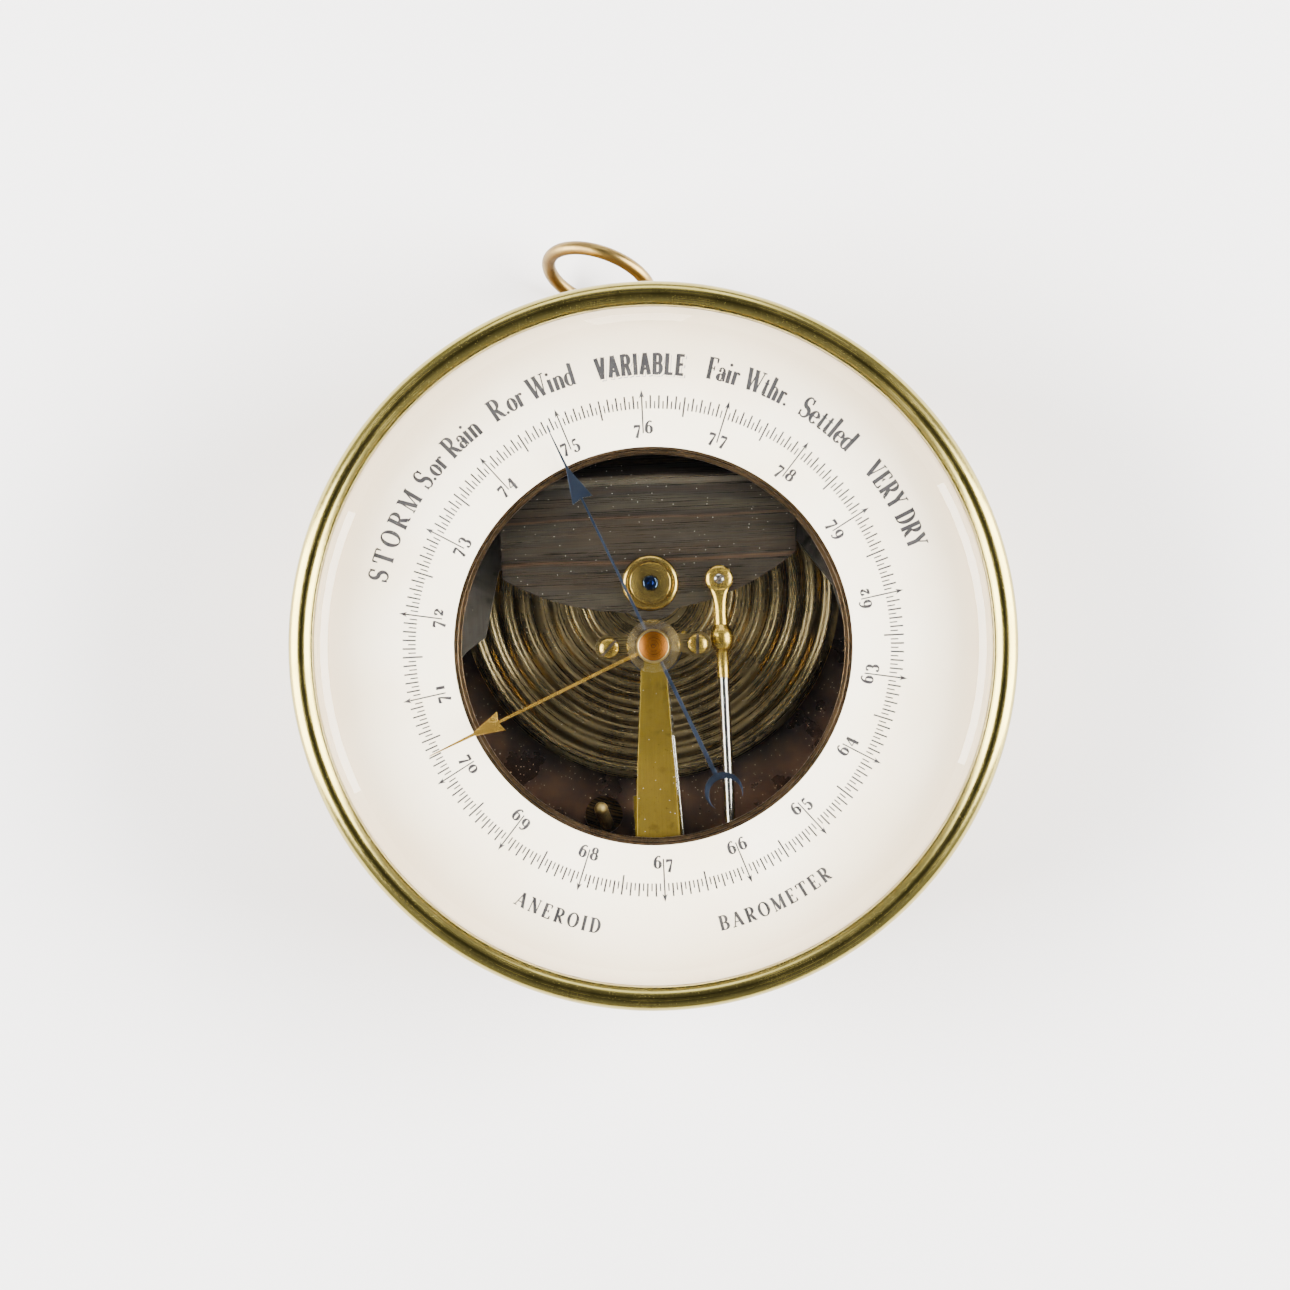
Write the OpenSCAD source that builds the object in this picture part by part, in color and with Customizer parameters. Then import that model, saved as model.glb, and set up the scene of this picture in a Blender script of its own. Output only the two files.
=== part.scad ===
// Open-dial aneroid barometer in a round brass case.
// Origin: centre of the back's rear face. +Z comes out of the dial, +Y points to the hanging ring.
// All sizes in millimetres.

/* [Case] */
// Diameter over the half-round bezel
bezel_d = 130; // [128:1:136]
// Outer diameter of the drum
drum_d = 123; // [122:0.5:124]
// Wall thickness of the drum
drum_wall = 0.8; // [0.6:0.1:1]
// Height from the back to the drum's rim
drum_h = 42.3; // [42.3:0.1:42.8]
// Thickness of the case back
back_t = 1.5; // [1.3:0.1:1.7]
// Thickness of the bevelled glass
glass_t = 2.4; // [2.2:0.1:2.6]
// Width of the glass's bevel
bevel_w = 3.3; // [3:0.1:3.6]

/* [Dial] */
// Diameter of the opening in the dial card
dial_open_d = 71.6; // [70.6:0.2:72]
// Thickness of the dial card
card_t = 0.5; // [0.3:0.1:0.7]
// Height of the dial plate's underside above the back
dial_z = 36; // [35.8:0.1:36.2]
// Width of the ledge of the dial plate inside the card
ledge_w = 1.4; // [1:0.1:2]

/* [Hands] */
// Angle of the pointer at rest, from +X
pointer_angle = 113.2; // [80:0.1:140]
// Angle of the set hand at rest, from +X
set_angle = 203.5; // [150:0.5:330]
// Reach of the pointer's tip
pointer_reach = 43.6; // [42:0.1:44.5]
// Reach of the set hand's tip
set_reach = 44.6; // [42:0.1:45]
// Diameter of the milled set knob
knob_d = 6.15; // [5.8:0.05:6.6]

/* [Capsule and spring] */
// Diameter of the vacuum capsule over its rim
capsule_d = 70; // [68:0.5:70]
// Number of corrugations in each diaphragm
waves = 7; // [5:1:8]
// Width of the main spring's upper leaf
leaf_w = 53.6; // [50:0.2:54]
// Thickness of the main spring
leaf_t = 1.2; // [1:0.1:1.2]
// Diameter of the stepped collar on the capsule's pillar
collar_d = 10.2; // [9.6:0.1:10.4]

/* [Lever train] */
// Sideways place of the main lever
lever_x = 12.45; // [12.4:0.05:12.6]
// Diameter of the steel lever rod
rod_d = 1.9; // [1.5:0.05:1.9]
// Length of the crank on the rocking shaft
crank_len = 4; // [3.8:0.1:4.1]
// Length of the upright arm that pulls the chain
chain_arm_len = 16.1; // [16:0.1:16.2]
// Lean of the crank and the upright arm at rest
shaft_lean = 10.75; // [10:0.25:11]
// Radius of the chain's line round its drum
chain_r = 2; // [1.95:0.05:2.05]

/* [Hanging ring] */
// Mean radius of the hanging ring
ring_r = 9.9; // [9.6:0.1:10]
// Diameter of the ring's wire
ring_wire = 2.5; // [2.2:0.1:2.6]

/* [Hidden] */
$fn = 96;

// Case
drum_r = drum_d / 2;
drum_in = drum_r - drum_wall;
foot_bead = 0.6;
bead_r = 2.2;
bead_at = bezel_d / 2 - bead_r;
ring_t = 0.6;
glass_z = drum_h + ring_t;
glass_top = glass_z + glass_t;
glass_r = drum_r - 0.2;
glass_edge = 1;
bead_z = glass_top - 0.5;
lip_z = bead_z - 0.6;
skirt_t = 0.8;
skirt_h = 3.8;
hole_r = 1.3;
sink_r = 4.7;
sink_floor_r = 3;
sink_depth = 0.6;

// Dial
plate_t = 1;
card_z = dial_z + plate_t;
card_top = card_z + card_t;
card_r = 60.2;
pillar_at = 55;
pillar_angles = [60, 180, 300];

// Base plate
base_z = back_t;
base_t = 2;
base_top = base_z + base_t;
base_r = 56;
back_screw_at = 50;
back_screw_angles = [20, 140, 260];
back_screw_r = 1.5;
back_head_r = 2.6;
post_at = [-10.6, -31];
post_slot_r = 3.5;
post_foot = [-10.2, -32.6];
post_lean = [-15, -4, 0];

// Capsule
cap_y = 10.4;
cap_r = capsule_d / 2;
foot_r = 11;
foot_t = 2;
cap_low = base_top + foot_t;
rim_z = 9.6;
rim_t = 1.2;
rim_w = 1.6;
cap_top = 14;
shell_t = 0.5;
disc_r = 11.5;
wave_h = 0.7;

// Carriage and main spring
pivot_y = 2;
pivot_z = 8;
pivot_r = 0.8;
running = 0.05;
lug_x = 36.4;
lug_t = 2.8;
post_x = 40.4;
post_w = 5;
carr_z = 16;
carr_t = 2.2;
carr_top = carr_z + carr_t;
bend_y = 30;
leaf_top = 28.8;
bend_r = (leaf_top - carr_top) / 2;
bend_z = carr_top + bend_r;
leaf_z = leaf_top - leaf_t;
pillar_y = 11.4;
pillar_r = 1.8;
nose_r = 6.5;
nose_y = 11.2;
front_r = 47;
front_x = -2;
front_y = 53.2;
adjust_y = 48;
adjust_r = 2;
adjust_gap = 0.15;

// Main lever
lever_z = 30.4;
eye_y = 11.6;
eye_r = 2.6;
neck_r = 1.25;
barrel_r = 2.2;
barrel_y = 0.8;
sleeve_r = 1.15;
sleeve_end = -6.3;

// Rocking shaft and link
shaft_y = -40;
shaft_z = 13;
shaft_r = 1.2;
shaft_left = -7;
shaft_right = 17;
bracket_t = 2;
shaft_pivot_r = 0.5;
crank_y = shaft_y - crank_len * cos(shaft_lean);
crank_z = shaft_z - crank_len * sin(shaft_lean);
hook_y = shaft_y - chain_arm_len * sin(shaft_lean);
hook_z = shaft_z + chain_arm_len * cos(shaft_lean);
link_pin_r = 0.45;
link_slack = 0.45;
link_x = 11.9;
link_t = 0.8;
crank_x = 10.4;
arm_x = 5.2;
chain_lean = 2.91;
chain_t = 0.5;
chain_h = 1;
chain_end = 16;
wire_r = 0.3;
hook_x = 4.2;

// Bridge arm and yoke
yoke_x = 8;
yoke_t = 1.2;
upper_yoke_z = 33;
lower_yoke_z = 24;
arm_z = upper_yoke_z + yoke_t;
arm_t = 1.2;
arm_top = arm_z + arm_t;
column_left = -4.5;
arm_screw_x = [-2.5, 1.3];
arm_screw_y = -36.8;
arm_screw_r = 0.9;
arbor_r = 0.6;
lower_pivot_r = 0.35;

// Hands
pointer_z = 38.9;
pointer_t = 0.4;
set_z = 41;
set_t = 0.4;
spindle_r = 1.1;
knob_z = glass_top - sink_depth;
knob_boss = 0.8;
knob_h = 3.6;

// Hanging ring: where it passes the eye, and how it leans
eye_at = [2.24, 64.26, 9.51];
ring_yaw = -112.6;
ring_tilt = 65;
ring_turn = -94.5;
eye_r_out = 2.9;
eye_hole = 1.6;
eye_t = 2;

function polar(r, a) = [r * cos(a), r * sin(a)];

module ring(r_out, r_in, h) {
    difference() {
        cylinder(r = r_out, h = h);
        translate([0, 0, -1]) cylinder(r = r_in, h = h + 2);
    }
}

// A cylinder along +X from the origin
module x_rod(r, h) {
    rotate([0, 90, 0]) cylinder(r = r, h = h);
}

// A cylinder along -Y from the origin
module y_rod(r, h) {
    rotate([90, 0, 0]) cylinder(r = r, h = h);
}

// A slotted cheese head on a shank; the head's underside is at z = 0
module screw(head_r, head_h, shank_r, shank_l, slot_w = 0.6) {
    difference() {
        union() {
            cylinder(r = head_r, h = head_h);
            translate([0, 0, -shank_l]) cylinder(r = shank_r, h = shank_l);
        }
        translate([-head_r - 1, -slot_w / 2, head_h * 0.5]) cube([2 * head_r + 2, slot_w, head_h]);
    }
}

// ---- Case ----

module case_drum() {
    color("darkgoldenrod") difference() {
        union() {
            cylinder(r = drum_r, h = drum_h);
            cylinder(r = drum_r + foot_bead, h = foot_bead * 2);
        }
        translate([0, 0, -1]) cylinder(r = drum_in, h = drum_h + 2);
        place_stud(1.3, 8);
    }
}

module case_back() {
    color("goldenrod") difference() {
        cylinder(r = drum_in, h = back_t);
        for (a = back_screw_angles) rotate([0, 0, a]) translate([back_screw_at, 0, 0]) {
            translate([0, 0, -1]) cylinder(r = back_head_r, h = 2);
            translate([0, 0, -1]) cylinder(r = back_screw_r, h = back_t + 2);
        }
        translate([0, adjust_y, -1]) cylinder(r = adjust_r + 1.5, h = back_t + 2);
    }
}

module back_screws() {
    color("gold")
        for (a = back_screw_angles) rotate([0, 0, a]) translate([back_screw_at, 0, 1])
            rotate([180, 0, 0]) screw(back_head_r, 0.8, back_screw_r, base_top - 1);
}

module bezel() {
    color("gold") rotate_extrude() difference() {
        union() {
            translate([bead_at, bead_z]) circle(bead_r);
            translate([drum_r, drum_h - 0.3]) square([2.4, bead_z - drum_h + 0.3]);
            translate([drum_r, drum_h - skirt_h]) square([skirt_t, skirt_h]);
        }
        translate([drum_r - 4, drum_h - 2]) square([4, lip_z - drum_h + 2]);
    }
}

module glass() {
    color("lightcyan", 0.35) rotate_extrude() polygon([
        [hole_r, glass_z],
        [glass_r, glass_z],
        [glass_r, glass_z + glass_edge],
        [glass_r - bevel_w, glass_top],
        [sink_r, glass_top],
        [sink_floor_r, knob_z],
        [hole_r, knob_z],
    ]);
}

module glass_ring() {
    color("khaki") translate([0, 0, drum_h]) ring(drum_r, drum_in - 0.3, ring_t);
}

module dial_spacer() {
    color("ivory") translate([0, 0, card_top]) ring(drum_in, card_r - 0.3, drum_h - card_top);
}

module hanging_stud() {
    translate([0, 0, eye_at[2]]) rotate([0, 0, atan2(eye_at[1], eye_at[0])]) children();
}

module place_stud(r, l) {
    hanging_stud() translate([drum_r - l / 2, 0, 0]) x_rod(r, l);
}

// Turns +Z onto the ring's own direction where it passes the eye
module along_ring() {
    rotate([0, 0, ring_yaw]) rotate([0, ring_tilt, 0]) rotate([0, 0, ring_turn])
        rotate([-90, 0, 0]) children();
}

module hanging_eye() {
    eye_from = norm([eye_at[0], eye_at[1]]);
    color("darkgoldenrod") difference() {
        union() {
            hanging_stud() translate([drum_in - 2.6, 0, 0]) x_rod(1.3, eye_from - drum_in + 0.4);
            intersection() {
                translate(eye_at) along_ring() translate([0, 0, -eye_t / 2])
                    cylinder(r = eye_r_out, h = eye_t);
                difference() {
                    cylinder(r = drum_r + 10, h = 20);
                    translate([0, 0, -1]) cylinder(r = drum_r, h = 22);
                }
            }
        }
        translate(eye_at) along_ring() translate([0, 0, -eye_t])
            cylinder(r = eye_hole, h = 2 * eye_t);
    }
}

module eye_nut() {
    color("gold") hanging_stud() translate([drum_in - 2.2, 0, 0]) rotate([0, 90, 0]) difference() {
        cylinder(r = 2.6, h = 1.9, $fn = 6);
        translate([0, 0, -1]) cylinder(r = 1.3, h = 4);
    }
}

module hanging_ring() {
    color("peru") translate(eye_at)
        rotate([0, 0, ring_yaw]) rotate([0, ring_tilt, 0]) rotate([0, 0, ring_turn])
            translate([ring_r, 0, 0]) rotate_extrude() translate([ring_r, 0]) circle(ring_wire / 2);
}

// ---- Dial ----

module dial_card() {
    color("ivory") translate([0, 0, card_z]) ring(card_r, dial_open_d / 2, card_t);
}

module dial_plate() {
    open_r = dial_open_d / 2 - ledge_w;
    color("peru") translate([0, 0, dial_z]) difference() {
        cylinder(r = drum_in - 0.2, h = plate_t);
        translate([0, 0, -1]) cylinder(r = open_r, h = plate_t + 2);
        translate([0, 0, plate_t - 0.3]) cylinder(r = open_r + ledge_w / 2, h = 1);
    }
}

module dial_pillars() {
    color("gold") for (a = pillar_angles) rotate([0, 0, a])
        translate([pillar_at, 0, base_top]) cylinder(r = 1.8, h = dial_z - base_top);
}

// ---- Hands ----

module pointer() {
    head_at = 29;
    needle_at = 35.2;
    moon_at = 28.9;
    moon_r = 3.45;
    tail_at = 2.6 - moon_at;
    color("midnightblue") rotate([0, 0, pointer_angle]) translate([0, 0, pointer_z])
        linear_extrude(pointer_t) difference() {
            union() {
                circle(2);
                polygon([[tail_at, -0.42], [0, -0.27], [head_at + 0.4, -0.2], [head_at, -1.95],
                         [needle_at, -0.26], [pointer_reach, -0.08], [pointer_reach, 0.08],
                         [needle_at, 0.26], [head_at, 1.95], [head_at + 0.4, 0.2], [0, 0.27],
                         [tail_at, 0.42]]);
                translate([-moon_at, 0]) difference() {
                    circle(moon_r);
                    translate([-0.75, 0]) circle(moon_r - 0.45);
                }
            }
            circle(1);
        }
}

module pointer_hub() {
    color("darkgoldenrod") translate([0, 0, pointer_z]) difference() {
        union() {
            translate([0, 0, -0.7]) cylinder(r = 1.8, h = 0.7);
            cylinder(r = 1, h = 0.9);
        }
        translate([0, 0, -1]) cylinder(r = 0.5, h = 3);
    }
}

module arbor() {
    top = pointer_z - 0.7;
    color("silver") {
        translate([0, 0, lower_yoke_z]) cylinder(r = lower_pivot_r, h = yoke_t + 0.1);
        translate([0, 0, lower_yoke_z + yoke_t + 0.1])
            cylinder(r = arbor_r, h = top - lower_yoke_z - yoke_t - 0.1);
        translate([0, 0, top]) cylinder(r = 0.5, h = 1.8);
    }
}

module chain_drum() {
    color("gold") translate([0, 0, hook_z]) difference() {
        union() {
            translate([0, 0, -chain_h / 2 - 0.05])
                cylinder(r = chain_r - chain_t / 2 - 0.03, h = chain_h + 0.1);
            translate([0, 0, chain_h / 2 + 0.05]) cylinder(r = chain_r + 0.4, h = 0.4);
            translate([0, 0, -chain_h / 2 - 0.45]) cylinder(r = chain_r + 0.4, h = 0.4);
        }
        translate([0, 0, -3]) cylinder(r = arbor_r, h = 6);
    }
}

module hairspring_collet() {
    color("gold") translate([0, 0, 31]) difference() {
        cylinder(r = 1.3, h = 1.1);
        translate([0, 0, -1]) cylinder(r = arbor_r, h = 4);
    }
}

module set_hand() {
    barb_at = 30.3;
    needle_at = 35.7;
    color("goldenrod") rotate([0, 0, set_angle]) translate([0, 0, set_z])
        linear_extrude(set_t) difference() {
            union() {
                circle(2.4);
                polygon([[1.6, -0.3], [barb_at + 0.5, -0.24], [barb_at, -1.8],
                         [needle_at, -0.3], [set_reach, -0.08], [set_reach, 0.08],
                         [needle_at, 0.3], [barb_at, 1.8], [barb_at + 0.5, 0.24],
                         [1.6, 0.3]]);
            }
            circle(spindle_r);
        }
}

module set_knob() {
    teeth = 48;
    color("goldenrod") {
        translate([0, 0, set_z - 0.4]) cylinder(r = 2, h = 0.4);
        translate([0, 0, set_z]) cylinder(r = spindle_r, h = knob_z - set_z);
        translate([0, 0, knob_z]) cylinder(r = 2.4, h = knob_boss);
        translate([0, 0, knob_z + knob_boss]) difference() {
            cylinder(r = knob_d / 2, h = knob_h);
            for (i = [0:teeth - 1]) rotate([0, 0, i * 360 / teeth])
                translate([knob_d / 2 + 0.08, 0, 0.5]) cylinder(r = 0.18, h = knob_h, $fn = 16);
            translate([0, 0, knob_h + 9.6]) sphere(10, $fn = 96);
        }
    }
}

module set_washer() {
    color("khaki") translate([0, 0, set_z + set_t]) ring(2.5, spindle_r, glass_z - set_z - set_t);
}

// ---- Base and capsule ----

module base_plate() {
    color("saddlebrown") translate([0, 0, base_z]) difference() {
        cylinder(r = base_r, h = base_t);
        for (a = back_screw_angles) rotate([0, 0, a])
            translate([back_screw_at, 0, -1]) cylinder(r = back_screw_r, h = base_t + 2);
        translate([0, adjust_y, -1]) cylinder(r = adjust_r + running, h = base_t + 2);
        translate([post_at[0], post_at[1], -1]) cylinder(r = post_slot_r, h = base_t + 2);
    }
}

module stop_post() {
    post_r = 1.25;
    post_h = 12;
    color("gold") translate([post_foot[0], post_foot[1], base_z]) difference() {
        rotate(post_lean) {
            translate([0, 0, -post_r]) cylinder(r = post_r, h = post_h + post_r);
            translate([0, 0, post_h]) sphere(post_r);
        }
        translate([-3 * post_r, -3 * post_r, -4 * post_r]) cube([6 * post_r, 6 * post_r, 4 * post_r]);
    }
}

module capsule_foot() {
    color("gold") translate([0, cap_y, base_top]) cylinder(r = foot_r, h = foot_t);
}

// Height of a corrugated diaphragm at radius r, above its flat disc
function wave(r) = -wave_h / 2 * (1 - cos(360 * waves * (r - disc_r) / (cap_r - rim_w - disc_r)));

// Profile of one diaphragm, from its centre to its flange; up = 1 or -1
module diaphragm_profile(z_disc, z_rim, up) {
    steps = waves * 8;
    r_end = cap_r - rim_w;
    top = [for (i = [0:steps]) let (r = disc_r + (r_end - disc_r) * i / steps)
        [r, z_disc + up * (wave(r) - 0.3 * i / steps)]];
    low = [for (p = top) [p[0], p[1] - up * shell_t]];
    skirt = [[r_end + 0.3, z_rim + up * shell_t], [cap_r, z_rim + up * shell_t],
             [cap_r, z_rim], [r_end - 0.3, z_rim]];
    back = [for (i = [len(low) - 1:-1:0]) low[i]];
    polygon(concat([[0, z_disc]], top, skirt, back, [[0, z_disc - up * shell_t]]));
}

module capsule_upper() {
    color("tan") translate([0, cap_y, 0]) rotate_extrude()
        diaphragm_profile(cap_top, rim_z + rim_t, 1);
}

module capsule_lower() {
    color("tan") translate([0, cap_y, 0]) rotate_extrude()
        diaphragm_profile(cap_low, rim_z, -1);
}

module capsule_rim() {
    color("wheat") translate([0, cap_y, rim_z]) ring(cap_r, cap_r - rim_w, rim_t);
}

module capsule_pillar() {
    color("gold") translate([0, pillar_y, cap_top]) {
        cylinder(r = 4.5, h = 1.2);
        translate([0, 0, 1.2]) cylinder(r = pillar_r, h = leaf_top - cap_top - 1.2);
    }
}

module collar() {
    color("gold") translate([0, pillar_y, leaf_top]) difference() {
        rotate_extrude() union() {
            translate([0, 0]) square([collar_d / 2 - 1, 2.6]);
            translate([collar_d / 2 - 1.3, 1.3]) circle(1.3);
            square([3.6, 3.4]);
        }
        translate([0, 0, 2.2]) ring(4.1, 3.6, 1);
        translate([0, 0, -1]) cylinder(r = 1.5, h = 6);
    }
}

module pillar_pin() {
    color("midnightblue") translate([0, pillar_y, leaf_top]) difference() {
        cylinder(r = 1.5, h = 3.6);
        translate([0, 0, 3.1]) cylinder(r = 0.8, h = 1, $fn = 6);
    }
}

module pair() {
    children();
    mirror([1, 0, 0]) children();
}

// ---- Carriage and main spring ----

module carriage_posts() {
    color("gold") pair() difference() {
        translate([post_x, pivot_y - 3, base_top]) cube([post_w, 6, pivot_z + 3 - base_top]);
        translate([post_x - 1, pivot_y, pivot_z]) x_rod(1.5, post_w + 2);
    }
}

module pivot_screws() {
    color("silver") pair() translate([0, pivot_y, pivot_z]) {
        translate([lug_x + 1.6, 0, 0]) x_rod(pivot_r, post_x - lug_x - 1.6);
        translate([post_x, 0, 0]) rotate([0, 90, 0]) translate([0, 0, post_w])
            screw(2.3, 1.4, 1.5, post_w);
    }
}

module carriage() {
    color("dimgray") difference() {
        union() {
            translate([0, 0, carr_z]) linear_extrude(carr_t) {
                polygon([[-30.6, 3], [-27.6, 15], [-24, 17], [26.4, 19.4], [33.4, 9.6],
                         [lug_x, pivot_y - 4], [lug_x + lug_t, pivot_y - 4],
                         [lug_x + lug_t, pivot_y + 5], [28.6, 24], [22, 40], [8, 44], [8, 53],
                         [-8, 53], [-8, 44], [-22, 40], [-28.6, 24], [-lug_x - lug_t, pivot_y + 5],
                         [-lug_x - lug_t, pivot_y - 4], [-lug_x, pivot_y - 4], [-34.4, 0.4]]);
            }
            pair() translate([lug_x, pivot_y - 4, pivot_z - 3])
                cube([lug_t, 8, carr_z - pivot_z + 3]);
        }
        pair() translate([lug_x + 1.4, pivot_y, pivot_z])
            x_rod(pivot_r + running, lug_t);
        for (x = [-14, 0, 14]) translate([x, 22, carr_z - 1]) cylinder(r = 1.2, h = carr_t + 2);
    }
}

// Outline of the upper leaf seen from above, up to the bend
module leaf_outline() {
    difference() {
        union() {
            intersection() {
                translate([front_x, front_y]) circle(front_r, $fn = 180);
                translate([-leaf_w / 2, 0]) square([leaf_w, bend_y]);
            }
            translate([0, nose_y]) circle(nose_r);
        }
        translate([0, pillar_y]) circle(pillar_r + 0.6);
    }
}

module main_spring() {
    color("slategray") difference() {
        union() {
            translate([0, 0, leaf_z]) linear_extrude(leaf_t) leaf_outline();
            translate([-leaf_w / 2, bend_y, bend_z]) intersection() {
                rotate([0, 90, 0]) ring(bend_r, bend_r - leaf_t, leaf_w);
                translate([-1, 0, -bend_r - 1]) cube([leaf_w + 2, bend_r + 1, 2 * bend_r + 2]);
            }
            translate([-21, 18, carr_top]) cube([42, bend_y - 18, leaf_t]);
        }
        for (x = [-14, 0, 14]) translate([x, 22, carr_top - 1]) cylinder(r = 1.2, h = leaf_t + 2);
    }
}

module clamp_bar() {
    color("gray") difference() {
        translate([-19, 19, carr_top + leaf_t]) cube([38, 6, 2]);
        for (x = [-14, 0, 14]) translate([x, 22, carr_top]) cylinder(r = 1.2, h = 6);
    }
}

module clamp_screws() {
    color("silver") for (x = [-14, 0, 14]) translate([x, 22, carr_top + leaf_t + 2])
        screw(2.2, 1.4, 1.2, carr_t + leaf_t + 2);
}

module adjusting_screw() {
    length = carr_z - adjust_gap - 0.4;
    color("gold") translate([0, adjust_y, 0.4]) difference() {
        cylinder(r = adjust_r, h = length);
        translate([-adjust_r - 1, -0.4, -1]) cube([2 * adjust_r + 2, 0.8, 2]);
    }
}

// ---- Main lever ----

module lever_head() {
    color("gold") difference() {
        union() {
            translate([lever_x, eye_y, leaf_top]) cylinder(r = eye_r, h = 2.6);
            translate([0, 0, leaf_top + 0.3]) linear_extrude(2) polygon([
                [lever_x - eye_r * 0.95, eye_y - 1], [lever_x - neck_r, eye_y - 3.4],
                [lever_x + neck_r, eye_y - 3.4], [lever_x + eye_r * 0.95, eye_y - 1]]);
            translate([lever_x, eye_y - 3, lever_z]) y_rod(neck_r, eye_y - 3 - barrel_y);
            translate([lever_x, barrel_y + 2.2, lever_z]) y_rod(barrel_r - 0.35, 4.4);
            translate([lever_x, barrel_y, lever_z]) sphere(barrel_r);
            translate([lever_x, barrel_y, lever_z]) y_rod(sleeve_r, barrel_y - sleeve_end);
        }
        translate([lever_x, eye_y, leaf_top - 1]) cylinder(r = 0.6, h = 6);
        translate([lever_x, -2.5, lever_z]) y_rod(rod_d / 2, 10);
    }
}

module lever_screw() {
    color("silver") translate([lever_x, eye_y, leaf_top + 2.6])
        screw(0.98, 0.6, 0.6, 2.6, 0.3);
}

module lever_rod() {
    color("silver") translate([lever_x, -2.5, lever_z]) y_rod(rod_d / 2, -crank_y - 2.5 - 2.5);
}

module lever_tip() {
    tip_x = link_x + link_t + 0.3;
    color("gold") difference() {
        union() {
            translate([lever_x, crank_y + 5.5, lever_z]) y_rod(1.3, 3);
            translate([tip_x, crank_y - 1.4, lever_z - 1.2]) cube([1, 5.4, 2.4]);
            translate([link_x - 0.4, crank_y, lever_z]) x_rod(link_pin_r, tip_x - link_x + 0.6);
        }
        translate([lever_x, crank_y + 8, lever_z]) y_rod(rod_d / 2, 5.5);
    }
}

module link() {
    drop = lever_z - crank_z;
    color("silver") translate([link_x, crank_y, 0]) difference() {
        union() {
            translate([0, 0, lever_z]) x_rod(1.2, link_t);
            translate([0, 0, crank_z]) x_rod(1.7, link_t);
            translate([0, -0.6, crank_z + 1.3]) cube([link_t, 1.2, drop - 2]);
        }
        translate([-1, 0, lever_z]) x_rod(link_pin_r + running, link_t + 2);
        translate([-1, 0, crank_z]) x_rod(link_pin_r + link_slack, link_t + 2);
    }
}

// ---- Rocking shaft ----

module shaft_brackets() {
    color("gold") for (x = [shaft_left - bracket_t, shaft_right]) difference() {
        translate([x, shaft_y - 3, base_top]) cube([bracket_t, 6, shaft_z + 3 - base_top]);
        translate([x - 1, shaft_y, shaft_z]) x_rod(shaft_pivot_r + running, bracket_t + 2);
    }
}

module rocking_shaft() {
    play = 0.15;
    color("silver") translate([0, shaft_y, shaft_z]) {
        translate([shaft_left + play, 0, 0]) x_rod(shaft_r, shaft_right - shaft_left - 2 * play);
        translate([shaft_left - bracket_t, 0, 0])
            x_rod(shaft_pivot_r, shaft_right - shaft_left + 2 * bracket_t);
    }
}

module crank() {
    color("gold") translate([crank_x, shaft_y, shaft_z]) difference() {
        union() {
            x_rod(2.2, 1);
            rotate([shaft_lean, 0, 0]) {
                translate([0, -crank_len, -1]) cube([1, crank_len, 2]);
                translate([0, -crank_len, 0]) x_rod(1, 1);
                translate([0, -crank_len, 0]) x_rod(link_pin_r, link_x + link_t - crank_x + 0.4);
            }
        }
        translate([-1, 0, 0]) x_rod(shaft_r, 3);
    }
}

module chain_arm() {
    color("silver") translate([arm_x, shaft_y, shaft_z]) difference() {
        union() {
            x_rod(2.2, 1);
            rotate([shaft_lean, 0, 0]) {
                translate([0, -0.9, 0]) cube([1, 1.8, chain_arm_len]);
                translate([0, 0, chain_arm_len]) x_rod(0.9, 1);
                translate([hook_x - 0.5 - arm_x, 0, chain_arm_len]) x_rod(0.4, arm_x - hook_x + 1);
            }
        }
        translate([-1, 0, 0]) x_rod(shaft_r, 3);
    }
}

module counterweight() {
    color("gold") translate([-4, shaft_y, shaft_z]) difference() {
        union() {
            x_rod(1.75, 1.4);
            translate([0.7, -1, 0]) y_rod(0.6, 7);
            translate([0.7, -8, 0]) sphere(2.2);
        }
        translate([-1, 0, 0]) x_rod(shaft_r, 4);
    }
}

// Puts children on the chain's line: local -Y runs along the chain from its drum to the hook
module on_chain() {
    rotate([0, 0, chain_lean]) translate([chain_r, 0, hook_z]) children();
}

module fusee_chain() {
    links = 11;
    pitch = chain_end / links;
    plate = chain_t / 2 + 0.03;
    color("silver") on_chain() for (i = [0:links - 1]) {
        even = (i % 2 == 0);
        plate_x = even ? -chain_t / 2 : chain_t / 2 - plate;
        end_r = even ? chain_h / 2 : chain_h / 2 - 0.05;
        waist = even ? chain_h * 0.6 : chain_h * 0.5;
        translate([plate_x, -i * pitch, 0]) rotate([0, 90, 0]) linear_extrude(plate) {
            circle(end_r, $fn = 24);
            translate([0, -pitch]) circle(end_r, $fn = 24);
            translate([-waist / 2, -pitch]) square([waist, pitch]);
        }
    }
}

module chain_wire() {
    reach = -hook_y / cos(chain_lean);
    color("silver") difference() {
        union() {
            on_chain() translate([0, -chain_end - chain_h / 2, 0])
                y_rod(wire_r, reach - chain_end - chain_h / 2 - 0.8);
            translate([hook_x - 0.3, hook_y, hook_z]) x_rod(1.1, 0.6);
        }
        translate([hook_x - 1, hook_y, hook_z]) x_rod(0.7, 2);
    }
}

// ---- Bridge arm and yoke ----

module arm_column() {
    color("goldenrod") difference() {
        union() {
            translate([column_left, -38, base_top]) cube([6.8, 8, upper_yoke_z - base_top]);
            translate([column_left - 0.35, -39, upper_yoke_z]) cube([8.15, 12.2, yoke_t]);
        }
        for (x = arm_screw_x) translate([x, arm_screw_y, arm_z - 6]) cylinder(r = arm_screw_r, h = 8);
    }
}

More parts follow.
